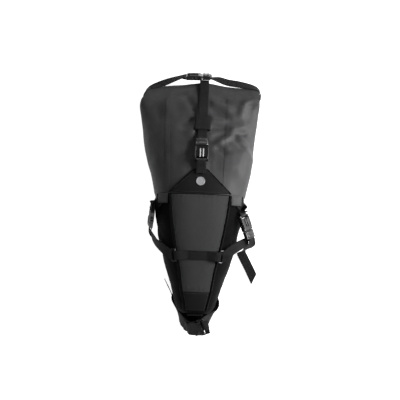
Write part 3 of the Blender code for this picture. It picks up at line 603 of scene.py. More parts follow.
def panels():
    def between_seams(front, back, margin):
        def outline(u, v):
            y = front + (back - front) * v
            return u * (along(SEAM, y) - margin), y
        return outline

    draped_panel("top_panel_cloth", between_seams(50.5, BORDER - 0.5, 2.2), 60, 110, 0.9, 1.2, "panel_fabric",
                 "panel_fabric", "top_panel")
    draped_panel("lower_patch_cloth", between_seams(12.5, 51.5, 2.2), 36, 26, 1.1, 1.3, "patch_fabric",
                 "patch_fabric", "lower_patch", pucker=0.2)

    def triangle(u, v):
        y = TRIANGLE_FOOT + (APEX - TRIANGLE_FOOT) * v - 0.6
        half = 13.0 + (TRIANGLE_HALF - 13.0) * (1 - v)
        return u * half, y + 2.5 * (1 - v) * u * u

    draped_panel("triangle_cloth", triangle, 64, 40, 0.9, 1.3, "patch_fabric", "patch_fabric",
                 "triangle_patch", pucker=0.2)
    x0, y0, side = ANCHOR_PATCH
    for word, sign in SIDES:
        def square(u, v, sign=sign):
            return sign * x0 + u * side, y0 + (2 * v - 1) * side
        draped_panel(f"anchor_patch_cloth_{word}", square, 16, 16, 1.6, 1.3, "grip_patch", "grip_patch",
                     f"anchor_patch_{word}", pucker=0.2)


# ------------------------------------------------------------- webbing
def straighten(stations):
    result = []
    for i, (centre, half) in enumerate(stations):
        before, after = stations[max(i - 1, 0)][0], stations[min(i + 1, len(stations) - 1)][0]
        way = (after - before).normalized()
        half = Vector(half)
        square = (half - way * half.dot(way)).normalized() * half.length
        result.append((centre, square, way.cross(square).normalized()))
    return result


def eased(stations, steps):
    """A smooth path through a few (centre, half-width vector) stations."""
    result = []
    for i in range(len(stations) - 1):
        rows = [stations[min(max(k, 0), len(stations) - 1)] for k in (i - 1, i, i + 1, i + 2)]
        for s in range(steps):
            t = s / steps
            mixed = []
            for part in (0, 1):
                a, b, c, d = (Vector(row[part]) for row in rows)
                mixed.append(0.5 * (2 * b + (c - a) * t + (2 * a - 5 * b + 4 * c - d) * t * t
                                    + (3 * b - a - 3 * c + d) * t ** 3))
            length = Vector(rows[1][1]).length
            result.append((mixed[0], mixed[1].normalized() * length))
    last = stations[-1]
    return result + [(Vector(last[0]), Vector(last[1]))]


# a webbing's section: across in half widths, and off its middle in half thicknesses
WEB_SECTION = ((-1, 0.2), (-0.985, 0.75), (-0.93, 1), (-0.6, 0.93), (-0.3, 0.97), (0, 0.93), (0.3, 0.97),
               (0.6, 0.93), (0.93, 1), (0.985, 0.75), (1, 0.2))


SLANT_LENGTH = 26.0


def strap(name, stations, paint="webbing", thickness=WEB_THICK, fine=3, wobble=0.25, seed=1, slant=0.0):
    """A webbing along stations of (centre, half-width vector), with selvedges and a little slackness."""
    path = eased(stations, fine)
    rails = straighten(path)
    section_points = [(a, h) for a, h in WEB_SECTION] + [(a, -h) for a, h in reversed(WEB_SECTION)]
    centres = np.array([c for c, _, _ in rails])
    shift = ripple(centres, 46, seed, 2) * wobble
    cup = ripple(centres, 60, seed + 5, 2) * wobble
    rows = []
    for (centre, half, normal), lift, bow in zip(rails, shift, cup):
        row = []
        for a, h in section_points:
            off = h * thickness / 2 + lift * 0.4 + bow * (0.4 - a * a) * 0.8
            row.append(centre + half * a + normal * off)
        rows.append(row)
    grid = np.array(rows)
    v = np.concatenate([[0], np.cumsum(np.linalg.norm(np.diff(centres, axis=0), axis=1))])
    if slant:
        way = np.array((rails[-1][0] - rails[-2][0]).normalized()) * slant * rails[-1][1].length
        sheared = np.clip(1 - (v[-1] - v) / SLANT_LENGTH, 0, 1)
        grid += sheared[:, None, None] * np.outer([a for a, _ in section_points], way)[None]
    width = rails[0][1].length
    u = np.array([a * width for a, _ in section_points])
    uv = np.stack(np.broadcast_arrays(u[None, :], v[:, None]), axis=-1)
    thing = grid_object(name, grid, paint, uv, wrap=False)
    # closed round its section and at both ends
    shape = bmesh.new()
    shape.from_mesh(thing.data)
    shape.verts.ensure_lookup_table()
    layer = shape.loops.layers.uv.active
    columns, rows_count = grid.shape[1], grid.shape[0]
    for r in range(rows_count - 1):
        ids = (r * columns + columns - 1, r * columns, (r + 1) * columns, (r + 1) * columns + columns - 1)
        face = shape.faces.new([shape.verts[i] for i in ids])
        for corner, i in zip(face.loops, ids):
            corner[layer].uv = uv.reshape(-1, 2)[i]
    for first in (0, (rows_count - 1) * columns):
        face = shape.faces.new([shape.verts[first + k] for k in range(columns)])
    bmesh.ops.recalc_face_normals(shape, faces=shape.faces)
    for face in shape.faces:
        face.smooth = True
    shape.to_mesh(thing.data)
    shape.free()
    thing.data.set_sharp_from_angle(angle=SHARP)
    return thing


def turn_about(centre, start, side, angle, steps, half):
    radius = start.length
    away = side.normalized()
    return [(centre + start * math.cos(a) + away * radius * math.sin(a), half)
            for a in spread(0, math.radians(angle), steps)]


def ring_frame(sign):
    x, y = RING_AT
    up = top_normal(sign * x, y)
    lengthways = Vector((0, 1, 0))
    lengthways = (lengthways - up * lengthways.dot(up)).normalized()
    return lifted(sign * x, y, 8.4), lengthways.cross(up) * sign, lengthways, up


def buckle_frame(name):
    mouth, way, face = BUCKLES[name]
    if way is None:
        x, y = mouth
        face = top_normal(x, y)
        way = face.cross(Vector((1, 0, 0)))
        mouth = lifted(x, y, CLOSURE_LIFT)
    way, face = Vector(way).normalized(), Vector(face)
    face = (face - way * face.dot(way)).normalized()
    return Vector(mouth), way.cross(face), way, face


def in_frame(frame_of, x, y, z):
    origin, across, way, face = frame_of
    return origin + across * x + way * y + face * z


def socket_loop(place, half=WEB_WIDTH / 2):
    bar = in_frame(place, 0, SOCKET_BAR, 0)
    return turn_about(bar, place[3] * 3.7, place[2], 180, 6, place[1] * half)


def plug_loop(place, half=WEB_WIDTH / 2):
    across = place[1] * half
    bar = in_frame(place, 0, PLUG_BAR, 0)
    lower = [(in_frame(place, 0, HOOD_LENGTH + 3, -3.0), across)]
    upper = [(in_frame(place, 0, HOOD_LENGTH + 3, 3.0), across)]
    return lower + turn_about(bar, place[3] * -3.15, place[2] * -1, 180, 6, across) + upper


STRAP_HEIGHT, TAIL_HEIGHT = 3.2, 5.4


def cross_strap():
    y = RING_AT[1]
    flat = [(lifted(x, y, 3.6), lengthways_on_top(x, y) * WEB_WIDTH / 2) for x in spread(-20, 20, 6)]

    def end(sign):
        centre, out, lengthways, up = ring_frame(sign)
        half = lengthways * WEB_WIDTH / 2
        bar = centre - out * RING_SIZE[0] / 2
        upper = [(lifted(sign * 27, y, 6.0), half), (bar - out * 7 + up * 1.9, half)]
        lower = [(bar - out * 6.5 - up * LOOP, half), (lifted(sign * 28, y, 3.6), half)]
        return upper + turn_about(bar, up * LOOP, out, 180, 6, half) + lower

    left = [(c, h) for c, h in reversed(end(-1))]
    thing = strap("cross_webbing", left + flat + end(1), seed=3)
    return finish_piece(thing, "webbing", "cross_strap")


def closure_strap():
    half = Vector((WEB_WIDTH / 2, 0, 0))
    place = buckle_frame("closure")
    behind = [(0, 404, -58.6), (0, 436, -50.5), (0, 462, -36), (0, 486, -27), (0, 505, -21.5),
              (0, 511.2, -9), (0, 505.4, 3.4), (0, 490, 8.4)]
    rear = [(Vector(p), half) for p in behind]
    forward = rear[-1:] + [(lifted(0, y, STRAP_HEIGHT), half) for y in (478, *spread(466, 386, 9))]
    tail = [(lifted(-1.2 * i / 8, y, TAIL_HEIGHT), half) for i, y in enumerate(spread(389, 446, 8))]
    loop = [(c, half) for c, _ in plug_loop(place)]
    back = finish_piece(strap("closure_webbing_rear", rear, seed=4), "webbing", "closure_strap")
    front = strap("closure_webbing_front", forward + loop + tail, seed=6, wobble=0.05)
    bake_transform(front)
    return back, front


def closure_anchor():
    place = buckle_frame("closure")
    half = Vector((WEB_WIDTH / 2, 0, 0))
    sewn = 1.1 + 1.0 + 0.4 + WEB_THICK / 2 + 0.3
    upper = [(lifted(0, y, sewn + rise), half)
             for y, rise in ((300, 1.9), (306, 1.9), (312, 3.0), (318, 6.2))]
    lower = [(lifted(0, y, sewn), half) for y in (313, 306, 300)]
    loop = [(c, half) for c, _ in socket_loop(place)]
    thing = strap("closure_anchor", upper + loop + lower, wobble=0.1)
    return finish_piece(thing, "webbing", "closure_anchor_webbing")


def rail_anchor(word, sign):
    place = buckle_frame(f"rail_{word}")
    x, y, side = ANCHOR_PATCH
    patch = sign * (x + side), y - side
    sewn = lifted(patch[0] + sign * 3, patch[1] - 3, 3.0)
    under_patch = lifted(sign * (x + side - 5), y - side + 5, 1.2)
    middle = in_frame(place, 0, -SOCKET_LENGTH - 6, 2.6)
    back = in_frame(place, 0, -SOCKET_LENGTH - 8, -1.6)
    first = lengthways_on_top(*patch) * WEB_WIDTH / 2
    half = place[1] * WEB_WIDTH / 2
    if half.dot(first) < 0:
        half.negate()
    loop = [(c, half) for c, _ in socket_loop(place)]
    between = ((sewn + middle) / 2 + top_normal(*patch) * 5, first.lerp(half, 0.5).normalized() * WEB_WIDTH / 2)
    route = [(under_patch, first), (sewn, first), between, (middle, half)]
    thing = strap(f"side_anchor_{word}", eased(route, 2) + loop + [(back, half)], wobble=0.1)
    return finish_piece(thing, "webbing", f"rail_anchor_webbing_{word}")


RIGHT_ROUTE = [((67, 137, 78), (-0.3, 0.93, 0.2)), ((84, 150, 70), (-0.55, 0.78, 0.3)),
               ((100, 160, 58), (-0.6, 0.45, 0.65))]
RIGHT_TAIL = [((113, 157, 46), (-0.7, 0.0, 0.7)), ((108, 150, 14), (-0.9, -0.2, 0.3)),
              ((104, 147, -26), (-0.9, -0.4, 0.0)), ((96, 142, -52), (-0.9, -0.42, 0.0)),
              ((101, 131, -58.7), (-0.89, -0.46, 0.0)), ((112, 111, -58.9), (-0.89, -0.46, 0.0)),
              ((126, 84, -58.9), (-0.89, -0.46, 0.0))]
LEFT_ROUTE = [((-71, 138, 66), (0, 1, 0.1)), ((-88, 152, 42), (0, 0.86, 0.5)),
              ((-98, 166, 18), (0, 0.7, 0.6)), ((-102.5, 178, 6), (0, -0.1, 1.0))]
LEFT_TAIL = [((-105, 177, -4), (0, -0.6, 0.8)), ((-85, 152, -36), (0, -0.3, 1)),
             ((-67, 122, -47), (0, 0, 1)), ((-58.5, 96, -48), (0, 0, 1)), ((-51.5, 68, -48), (0, 0, 1)),
             ((-46.5, 47, -48), (0, 0, 1)), ((-46, 38, -48), (0, 0, 1)), ((-50.5, 37.5, -48), (0, 0, 1)),
             ((-54, 47, -47.5), (0, 0, 1)), ((-66, 70, -46), (0, 0, 1))]


def rail_strap(word, sign, route, tail):
    """Three lengths of one webbing: round the ring, round the plug, and the free tail."""
    place = buckle_frame(f"rail_{word}")
    centre, out, lengthways, up = ring_frame(sign)
    bar = centre + out * RING_SIZE[0] / 2
    ring_half = lengthways * WEB_WIDTH / 2
    tucked = [(bar + out * 9 - up * 0.6, ring_half)]
    ring = turn_about(bar, up * -LOOP, out * -1, 180, 6, ring_half)
    loop = plug_loop(place)
    if loop[0][1].dot(Vector(route[-1][1])) < 0:
        loop = [(c, -h) for c, h in loop]
    half = WEB_WIDTH / 2
    turned = [(Vector(p), Vector(h).normalized() * half) for p, h in route]
    between = eased([ring[-1], *turned, loop[0]], 3)
    away = eased([loop[-1]] + [(Vector(p), Vector(h).normalized() * half) for p, h in tail], 3)
    cut = 4
    first = strap(f"rail_webbing_{word}_ring", tucked + ring[:-1] + between[:cut + 1], wobble=0.12, seed=7)
    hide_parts(f"rail_strap_{word}")
    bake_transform(first)
    second = strap(f"rail_webbing_{word}_plug", between[cut:] + loop[1:-1] + away[:2], wobble=0.12, seed=8)
    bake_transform(second)
    third = strap(f"rail_webbing_{word}_tail", away[1:], wobble=0.5, seed=9, slant=0.8 * sign)
    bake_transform(third)


# each leg of the roll's carrying arch: places, and which way its webbing's upper edge lies
LEFT_LEG = [((-131.5, 466, -9), (0, 0, 1)), ((-130, 477, -9), (0, -0.1, 1)),
            ((-119, 490.5, -8.5), (0, -0.5, 0.87)),
            ((-90, 501.5, -6.5), (0.1, -0.77, 0.64)), ((-64, 512.5, -6.5), (0.1, -0.6, 0.8))]
RIGHT_LEG = [((122.6, 474, -9), (0, 0, 1)), ((122.2, 487, -9), (0, -0.2, 0.98)),
             ((113, 498.5, -8), (0, -0.5, 0.87)),
             ((80, 504.5, -6), (0, -0.78, 0.63)), ((50, 508.5, -5.5), (0, -0.8, 0.6)),
             ((32, 514, -7), (0, -0.7, 0.71))]


def roll_tabs():
    place = buckle_frame("roll")
    left_loop = socket_loop(place)
    tail = (in_frame(place, 0, -SOCKET_LENGTH - 9, -2.4), left_loop[0][1])
    for word, leg, loop, seed in (("left", LEFT_LEG, left_loop + [tail], 11),
                                  ("right", RIGHT_LEG, plug_loop(place), 13)):
        if loop[0][1].dot(Vector(leg[-1][1])) < 0:
            loop = [(c, -h) for c, h in loop]
        path = [(Vector(p), Vector(h).normalized() * WEB_WIDTH / 2) for p, h in leg]
        thing = strap(f"roll_webbing_{word}", path + loop, wobble=0.5, seed=seed)
        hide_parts(f"roll_tab_{word}")
        if word == "left":
            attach(thing, "bag")
        else:
            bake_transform(thing)


BAND_RING = ((17.5, -24.0, 1.0), (0.91, 0.40, 0.0), (0.0, -0.66, -0.75))
BAND_RING_LENGTH, BAND_HALF, BAND_THICK = 12.0, 22.5, 2.0


def seatpost_straps():
    centre, way, lean = (Vector(v) for v in BAND_RING)
    way.normalize()
    lean = (lean - way * lean.dot(way)).normalized()
    face = way.cross(lean)
    half = lean * BAND_HALF
    reach = RING_WIRE + 0.4 + BAND_THICK / 2 + 0.6
    inner_side = face * (-reach if face.y > 0 else reach)
    bar = centre - way * BAND_RING_LENGTH / 2
    sewn = {side: Vector((-0.2 * side, -0.4, -0.9)) * BAND_HALF for side in (-1, 1)}
    lead = [(Vector((-41.0, 46, -20)), sewn[-1]), (Vector((-45.8, 31, -21)), sewn[-1]),
            (Vector((-39.8, 12, -20)), sewn[-1]),
            (Vector((-28.5, -11, -9)), Vector((0, -0.55, -0.83)) * BAND_HALF), (Vector((-9, -26.3, 0)), half)]
    loop = turn_about(bar, -inner_side, way, 180, 6, half)
    (far_end, far_half), (near_end, _) = lead[-2:]
    outward_way = (far_end - near_end).cross(half).normalized()
    outward_way *= -math.copysign(1, outward_way.y)
    over = [(near_end.lerp(far_end, t) + outward_way * 3.9, half.lerp(far_half, t)) for t in (0.0, 0.3, 0.6)]
    long = strap("seatpost_band", lead + loop + over, "band", BAND_THICK, wobble=0.2, seed=15)
    finish_piece(long, "webbing", "seatpost_strap")
    far = centre + way * BAND_RING_LENGTH / 2
    back = turn_about(far, inner_side, way * -1, 180, 6, half)
    home = [(Vector((38.6, 4, -25)), sewn[1]), (Vector((45.0, 24, -25)), sewn[1]),
            (Vector((38.0, 40, -24)), sewn[1])]
    folded = [(far + way * 8 + inner_side * 0.95 + Vector((0, -1.6, 0)), half)]
    tab = strap("seatpost_tab", folded + back + home, "band", BAND_THICK, wobble=0.2, seed=16)
    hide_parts("seatpost_ring_tab")
    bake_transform(tab)


def keeper():
    """A soft sleeve of folded webbing, with rounded lips."""
    outer, inner = (17.0, 4.3), (12.8, 3.3)
    middle, sides = (STRAP_HEIGHT + TAIL_HEIGHT) / 2, 48
    turn = 2 * math.pi * (np.arange(sides) + 0.5) / sides
    c, s = np.cos(turn), np.sin(turn)

    def row(y, semi, ease):
        base = lifted(0, y, middle)
        up = top_normal(0, y)
        x = semi[0] * ease * np.sign(c) * np.abs(c) ** 0.45
        z = semi[1] * ease * np.sign(s) * np.abs(s) ** 0.45
        sag = 0.25 * np.sin(y * 0.5) * (1 - (x / semi[0]) ** 2)
        return np.array([Vector((a, 0, 0)) + base + up * b for a, b in zip(x, z + sag)])

    start, end = 393.0, 426.0
    rows = [row(start + 0.8, outer, 0.975)] + [row(y, outer, 1.0) for y in spread(start + 2, end - 2, 12)]
    rows += [row(end - 0.8, outer, 0.975)] + [row(y, inner, 1.0) for y in spread(end - 1, start + 1, 8)]
    rows += [rows[0]]
    grid = np.stack(rows)
    uv = ring_uv(grid)
    thing = grid_object("strap_sleeve", grid, "webbing", uv, wrap=True)
    shape = bmesh.new()
    shape.from_mesh(thing.data)
    bmesh.ops.remove_doubles(shape, verts=shape.verts, dist=1e-6)
    bmesh.ops.recalc_face_normals(shape, faces=shape.faces)
    shape.to_mesh(thing.data)
    shape.free()
    return finish_piece(thing, "webbing", "strap_keeper", body="strap_keeper")


# ------------------------------------------------------------- cords, stitches and trim
def tube(name, points, radius, paint, sides=10, flatten=1.0):
    """A corded edge along points, radius in millimetres."""
    points = [Vector(p) for p in points]
    rows, up = [], Vector((0, 0, 1))
    for i, point in enumerate(points):
        way = (points[min(i + 1, len(points) - 1)] - points[max(i - 1, 0)]).normalized()
        side = way.cross(up).normalized()
        rise = side.cross(way)
        rows.append([point + side * radius * math.cos(a) + rise * radius * flatten * math.sin(a)
                     for a in (2 * math.pi * k / sides for k in range(sides))])
    grid = np.array(rows)
    return outward(grid_object(name, grid, paint, ring_uv(grid), wrap=True, caps=True))


def pipings():
    for word, sign in SIDES:
        y = np.linspace(12, BORDER - 1, 130)
        x = sign * along(SEAM, y)
        points = lifted_all(x, y, np.full(len(y), 2.1) + 0.15 * np.sin(y * 1.9))
        thing = tube(f"piping_cord_{word}", points, 1.75, "nose_fabric")
        finish_piece(thing, "nose_fabric", f"piping_{word}")


STITCH_LENGTH, STITCH_GAP, STITCH_RADIUS = 2.9, 1.2, 0.34


def stitches(name, points, paint="thread", closed=False):
    """A row of sewn stitches along a path: each a short thread, sunk at both ends."""
    points = np.asarray(points, float)
    step = np.linalg.norm(np.diff(points, axis=0), axis=1)
    place = np.concatenate([[0], np.cumsum(step)])
    count = max(int(place[-1] / (STITCH_LENGTH + STITCH_GAP)), 1)
    starts = np.arange(count) * place[-1] / count
    verts, faces = [], []
    profile = ((0.0, 0.35, -0.25), (0.18, 1.0, 0.15), (0.5, 1.0, 0.3), (0.82, 1.0, 0.15), (1.0, 0.35, -0.25))
    for start in starts:
        a, b = start, start + STITCH_LENGTH
        ends = [Vector([np.interp(t, place, points[:, k]) for k in range(3)]) for t in (a, b)]
        way = (ends[1] - ends[0]).normalized()
        side = way.cross(Vector((0, 0, 1))).normalized()
        rise = side.cross(way)
        first = len(verts)
        for t, fat, lift in profile:
            centre = ends[0].lerp(ends[1], t) + rise * lift * STITCH_RADIUS
            for k in range(6):
                turn = math.pi / 3 * k
                verts.append(centre + (side * math.cos(turn) + rise * math.sin(turn)) * STITCH_RADIUS * fat)
        for r in range(len(profile) - 1):
            for k in range(6):
                i, j = first + r * 6 + k, first + r * 6 + (k + 1) % 6
                faces.append((i, j, j + 6, i + 6))
        faces.append(tuple(first + k for k in reversed(range(6))))
        faces.append(tuple(first + (len(profile) - 1) * 6 + k for k in range(6)))
    mesh = bpy.data.meshes.new(name)
    mesh.from_pydata([v * MM for v in verts], [], faces)
    mesh.shade_smooth()
    mesh.materials.append(PAINTS[paint])
    thing = bpy.data.objects.new(name, mesh)
    bpy.context.scene.collection.objects.link(thing)
    return outward(thing)


def path_on_top(corners, lift, step=2.0):
    """Points over the fabric along straight runs between (x, y) corners."""
    xs, ys = [], []
    for (x0, y0), (x1, y1) in zip(corners, corners[1:]):
        steps = max(int(math.hypot(x1 - x0, y1 - y0) / step), 1)
        for t in spread(0, 1, steps):
            xs.append(x0 + (x1 - x0) * t)
            ys.append(y0 + (y1 - y0) * t)
    return lifted_all(xs, ys, np.full(len(xs), lift))


def patch_painted_shadow():
    """A near-black sheet under each anchor patch, where it is sewn over the webbing, showing beside the patch as a
    painted shadow edge.
    """
    x0, y0, side = ANCHOR_PATCH
    for word, sign in SIDES:
        def frame_of(u, v, sign=sign):
            return sign * x0 + u * (side + 3.2) + sign * 0.6, y0 - 1.5 + (2 * v - 1) * (side + 1.2)
        # near-black nose fabric set out past the patch's outer side and front edge: a painted shadow
        draped_panel(f"anchor_patch_shadow_sheet_{word}", frame_of, 14, 14, 0.8, 0.9, "nose_fabric", "webbing",
                     pucker=0.1)


UNDERSIDE = ((112, 36), (170, 50), (280, 58), (372, 56))    # place along the bag, half width


def underside_cloth():
    """The wear panel under the bag, following the fabric up at its edges."""
    u, v = np.meshgrid(np.linspace(-1, 1, 24), np.linspace(UNDERSIDE[0][0], UNDERSIDE[-1][0], 60))
    x = u * along(UNDERSIDE, v)
    half, middle, height, power = section(v, x)
    fall = np.maximum(1 - (np.abs(x) / half) ** power, 0.0) ** (1 / power)
    upper = np.maximum(middle - height * fall - 0.3, FLOOR + 1.4)
    sheets = [np.stack([x, v, z], axis=-1) for z in (upper, np.maximum(upper - 1.4, FLOOR + 0.05))]
    uv = np.stack([x, v], axis=-1)
    cloth = [grid_object(f"wear_panel_{word}", sheet, "patch_fabric", uv)
             for word, sheet in zip(("inner", "outer"), sheets)]
    shape = bmesh.new()
    for part in cloth:
        shape.from_mesh(part.data)
    bmesh.ops.bridge_loops(shape, edges=[e for e in shape.edges if e.is_boundary])
    bmesh.ops.recalc_face_normals(shape, faces=shape.faces)
    for face in shape.faces:
        face.smooth = True
    shape.to_mesh(cloth[0].data)
    shape.free()
    bpy.data.objects.remove(cloth[1])
    cloth[0].data.set_sharp_from_angle(angle=SHARP)
    return finish_piece(cloth[0], "patch_fabric", "underside_panel")


def seams():
    rows = []
    for word, sign in SIDES:
        y = np.linspace(14, BORDER - 3, 120)
        rows.append((f"seam_{word}_inner", lifted_all(sign * (along(SEAM, y) - 4.4), y, np.full(120, 2.25)), "thread"))
        rows.append((f"seam_{word}_outer", lifted_all(sign * (along(SEAM, y) + 3.4), y, np.full(120, 0.25)), "thread"))
        foot = TRIANGLE_HALF - 5.5
        edge = path_on_top([(sign * foot, TRIANGLE_FOOT + 4), (sign * 11.5, APEX - 3)], 2.35)
        rows.append((f"seam_triangle_{word}", edge, "thread"))
        x0, y0, side = ANCHOR_PATCH
        near = side - 2
        box = [(sign * x0 + u * near, y0 + v * near) for u, v in ((-1, -1), (1, -1), (1, 1), (-1, 1), (-1, -1))]
        rows.append((f"seam_anchor_{word}", path_on_top(box, 2.5), "thread"))
    rows.append(("seam_triangle_foot", path_on_top([(-58, TRIANGLE_FOOT + 2.6), (58, TRIANGLE_FOOT + 2.6)], 2.3),
                 "thread"))
    rows.append(("seam_panel_foot", path_on_top([(-56, BORDER - 4), (56, BORDER - 4)], 2.3), "thread"))
    rows.append(("seam_patch", path_on_top([(-25, 48.5), (25, 48.5)], 2.6), "thread"))
    for word, sign in SIDES:
        foot, top = TRIANGLE_HALF - 1.0, 13.5
        edge = path_on_top([(sign * foot, TRIANGLE_FOOT + 0.8), (sign * top, APEX - 1.5)], 1.9)
        finish_piece(tube(f"triangle_binding_{word}", edge, 1.25, "nose_fabric"), "nose_fabric")
    for x in (-38, -30, 30, 38):
        across = np.array([lifted(x, RING_AT[1] + dy, 3.6 + WEB_THICK / 2 + 0.2) for dy in spread(-8, 8, 12)])
        rows.append((f"tack_cross_{x + 50}", across, "thread"))
    for name, points, paint in rows:
        finish_piece(stitches(name, points, paint), "webbing")
    for x in (-5.5, 0, 5.5):
        bar = np.array([lifted(x, y, 6.0) for y in spread(299.5, 309, 8)])
        finish_piece(stitches(f"tack_anchor_{x + 10:.0f}", bar), "webbing")
    for row, y in enumerate((436, 440, 444)):
        across = np.array([lifted(x, y, TAIL_HEIGHT + WEB_THICK / 2 + 0.15) for x in spread(-9, 7, 12)])
        finish_piece(stitches(f"tack_tail_{row}", across), "webbing", body="closure_plug")


def welded_seams():
    """Welded tapes down the soft tube, a shade lighter, with a soft edge."""
    for word, x0, x1 in (("left", -78, -69), ("right", 56, 52)):
        def strip(u, v, x0=x0, x1=x1):
            y = 262 + (474 - 262) * v
            return x0 + (x1 - x0) * (1 - v) + u * 5.0, y
        draped_panel(f"welded_tape_{word}", strip, 12, 130, -0.1, 0.35, "body_fabric", "body_fabric", pucker=0.1)


def reflector():
    """A plain round reflector: a raised rim and a low dome."""
    radii = (0.0, 3.0, 6.0, 7.4, 7.9, 8.4, 9.0, 9.4)
    rises = (1.15, 1.1, 0.95, 0.85, 1.25, 1.3, 1.15, 0.4)
    sides = 48
    rows = []
    for radius, rise in zip(radii, rises):
        turn = 2 * math.pi * np.arange(sides) / sides
        x = np.maximum(radius, 0.05) * np.cos(turn)
        y = 284.0 + np.maximum(radius, 0.05) * np.sin(turn)
        rows.append(lifted_all(x, y, np.full(sides, 2.2 + rise)))
    turn = 2 * math.pi * np.arange(sides) / sides
    rows.append(lifted_all(9.3 * np.cos(turn), 284.0 + 9.3 * np.sin(turn), np.full(sides, 1.9)))
    grid = np.stack(rows)
    thing = outward(grid_object("round_reflector", grid, "reflective_film", ring_uv(grid), wrap=True, caps=True))
    return finish_piece(thing, "reflective_film", "emblem")


def buckle_trim():
    """What the plain moulding lacks: two thumb rails and a raised rim on the socket, a domed hood on the plug."""
    for name in BUCKLES:
        place = buckle_frame(name)
        face = 4.9
        # the closure buckle's pieces get the lighter copies of the black moulding, as painted highlights; the other
        # buckles keep the plain moulding
        trim_paint = "hood_painted_highlight" if name == "closure" else "buckle_plastic"
        for word, x in (("left", -3.1), ("right", 3.1)):
            run = [in_frame(place, x, y, face + 0.5 * math.sin(math.pi * t))
                   for t, y in zip(spread(0, 1, 12), spread(-27.5, -7.5, 12))]
            rail = capsule(f"{name}_thumb_rail_{word}", run, 1.7 if name == "closure" else 1.25, place[3],
                           "rail_painted_highlight" if name == "closure" else trim_paint)
            finish_piece(rail, "buckle_plastic")
            side = -12.4 if word == "left" else 12.4
            edge = [in_frame(place, side + math.copysign(1.1, side) * math.sin(math.pi * t), y, face - 0.5)
                    for t, y in zip(spread(0, 1, 12), spread(-31, -3, 12))]
            rim = capsule(f"{name}_socket_rim_{word}", edge, 1.15, place[3],
                          "rim_painted_highlight" if name == "closure" else trim_paint)
            finish_piece(rim, "buckle_plastic")
        lip = capsule(f"{name}_socket_lip", [in_frame(place, x, -33.0, face - 1.2) for x in spread(-11, 11, 10)],
                      1.5, place[3], trim_paint)
        finish_piece(lip, "buckle_plastic")
        hood = hood_shell(f"{name}_hood", place, trim_paint)
        finish_piece(hood, "buckle_plastic", body=f"{name}_plug")
        lever = capsule(f"{name}_hood_lip", [in_frame(place, x, 17.2 - 1.6 * (x / 12) ** 2, 3.4)
                                            for x in spread(-12, 12, 14)], 1.5, place[3], trim_paint)
        finish_piece(lever, "buckle_plastic", body=f"{name}_plug")


def hood_shell(name, place, paint):
    """The plug's domed cover: rounded in plan, highest over its middle bar, with a dished thumb rest."""
    rows, columns = 22, 30
    grid = np.zeros((rows, columns, 3))
    for r in range(rows):
        t = r / (rows - 1)
        y = 1.4 + 14.6 * t
        half = 13.6 - 3.4 * t ** 4
        for c in range(columns):
            u = 2 * c / (columns - 1) - 1
            edge = (1 - u ** 6) * (1 - (2 * t - 1) ** 6)
            rise = 3.6 + 4.4 * edge ** 0.5 * (1 - 0.35 * u * u) - 1.5 * math.exp(-((t - 0.5) / 0.2) ** 2 - u ** 4)
            grid[r, c] = in_frame(place, half * u, y, rise)
    uv = np.stack(np.meshgrid(np.arange(columns), np.arange(rows)), axis=-1).astype(float)
    cover = grid_object(name, grid, paint, uv)
    shape = bmesh.new()
    shape.from_mesh(cover.data)
    rim = [e for e in shape.edges if e.is_boundary]
    made = bmesh.ops.extrude_edge_only(shape, edges=rim)["geom"]
    low = [v for v in made if isinstance(v, bmesh.types.BMVert)]
    bmesh.ops.translate(shape, verts=low, vec=place[3] * -1.0 * MM)
    bmesh.ops.holes_fill(shape, edges=[e for e in shape.edges if e.is_boundary], sides=0)
    bmesh.ops.recalc_face_normals(shape, faces=shape.faces)
    shape.to_mesh(cover.data)
    shape.free()
    cover.data.shade_smooth()
    cover.data.set_sharp_from_angle(angle=SHARP)
    return cover


def capsule(name, points, radius, up, paint="rim_painted_highlight", sides=12):
    """A rounded moulded bar along points, drawn in at both ends."""
    rows, last = [], len(points) - 1
    for i, point in enumerate(points):
        way = (points[min(i + 1, last)] - points[max(i - 1, 0)]).normalized()
        side = way.cross(up).normalized()
        rise = side.cross(way)
        fat = radius * math.sin(math.acos(min(abs(2 * i / last - 1), 0.985) ** 6)) ** 0.5
        rows.append([point + side * fat * math.cos(a) + rise * fat * math.sin(a)
                     for a in (2 * math.pi * k / sides for k in range(sides))])
    grid = np.array(rows)
    return outward(grid_object(name, grid, paint, ring_uv(grid), wrap=True, caps=True))


TONGUE = ((-38, 11), (-28, 17), (-11, 27), (0, 34.5), (7, 38.5), (20, 43))


def nose_tongue():
    """The soft tongue under the seat-post band, running forward from the foot of the nose."""
    rows = []
    for t in spread(0, 1, 24):
        y = 20.0 - 58.0 * t
        half = float(along(TONGUE, y))
        middle = Vector((9.0 * t * t, y, -41.0 - 12.0 * t))
        row = []
        for k in range(40):
            a = 2 * math.pi * k / 40
            c, sn = math.cos(a), math.sin(a)
            row.append(middle + Vector((half * math.copysign(abs(c) ** 0.7, c), 0, 1.4 * math.copysign(abs(sn) ** 0.7, sn)
                                        - 2.0 * abs(c) ** 2)))
        rows.append(row)
    grid = np.array(rows)
    grid[..., 2] += (ripple(grid.reshape(-1, 3), 24, 51) * 0.8).reshape(grid.shape[:2])
    thing = outward(grid_object("nose_tongue", grid, "nose_fabric", ring_uv(grid), wrap=True, caps=True))
    return finish_piece(thing, "nose_fabric", "nose_shell")


def carried_nodes():
    """The CAD pieces that stay get their own materials."""
    for name, thing in frame["nodes"].items():
        kind = next((s["material_slot"] for s in frame["record"]["subparts"] if s["node"] == name), None)
        thing.data.materials.clear()
        thing.data.materials.append(PAINTS[kind])


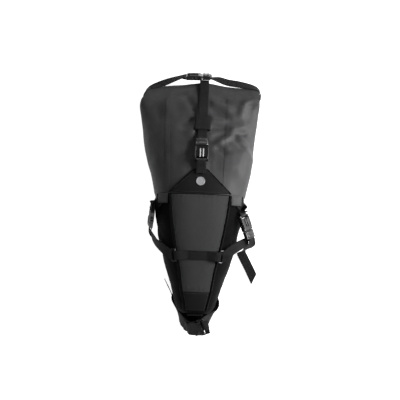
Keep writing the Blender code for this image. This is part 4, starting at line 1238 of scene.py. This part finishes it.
# ------------------------------------------------------------- floor, light and camera
def stage():
    bpy.ops.mesh.primitive_plane_add(size=60.0, location=(0, 0.24, FLOOR * MM - 0.0002))
    floor = bpy.context.object
    floor.name = "floor"
    paint = bpy.data.materials.new("floor_white")
    paint.use_nodes = True
    shader = paint.node_tree.nodes["Principled BSDF"]
    shader.inputs["Base Color"].default_value = (0.6, 0.6, 0.6, 1)
    shader.inputs["Roughness"].default_value = 0.9
    shader.inputs["Specular IOR Level"].default_value = 0.0
    shader.inputs["Emission Color"].default_value = (1, 1, 1, 1)
    shader.inputs["Emission Strength"].default_value = 0.92
    floor.data.materials.append(paint)
    world = bpy.data.worlds.new("studio")
    bpy.context.scene.world = world
    world.use_nodes = True
    world.node_tree.nodes["Background"].inputs["Color"].default_value = (1.0, 1.0, 1.0, 1)
    world.node_tree.nodes["Background"].inputs["Strength"].default_value = 0.17

    def lamp(name, place, size, power):
        data = bpy.data.lights.new(name, "AREA")
        data.shape = "DISK"
        data.size = size
        data.energy = power
        made = bpy.data.objects.new(name, data)
        bpy.context.scene.collection.objects.link(made)
        made.location = place
        aim = Vector((0, 0.24, 0)) - Vector(place)
        made.rotation_euler = aim.to_track_quat("-Z", "Y").to_euler()

    lamp("key", (2.3, 0.75, 1.3), 1.5, 155)
    lamp("fill", (-1.2, -0.8, 2.6), 1.6, 10)


def camera():
    data = bpy.data.cameras.new("camera")
    made = bpy.data.objects.new("camera", data)
    bpy.context.scene.collection.objects.link(made)
    aim = Vector((0.0006, 0.2485, 0.02))
    elevation, distance, roll = math.radians(86.5), 3.2, math.radians(2.4)
    made.location = aim + Vector((0, -math.cos(elevation), math.sin(elevation))) * distance
    look = (aim - made.location).to_track_quat("-Z", "Y").to_matrix()
    made.matrix_world = Matrix.Translation(made.location) @ (look @ Matrix.Rotation(roll, 3, "Z")).to_4x4()
    data.sensor_width = 36.0
    data.lens = 36.0 * distance / 0.86
    bpy.context.scene.camera = made
    bpy.context.scene.view_settings.view_transform = "Standard"


carried_nodes()
tube_fabric()
nose_fabric()
panels()
welded_seams()
patch_painted_shadow()
underside_cloth()
pipings()
seams()
reflector()
cross_strap()
closure_anchor()
closure_strap()
keeper()
for word, sign, route, tail in (("right", 1, RIGHT_ROUTE, RIGHT_TAIL), ("left", -1, LEFT_ROUTE, LEFT_TAIL)):
    rail_anchor(word, sign)
    rail_strap(word, sign, route, tail)
roll_tabs()
seatpost_straps()
nose_tongue()
buckle_trim()
stage()
camera()
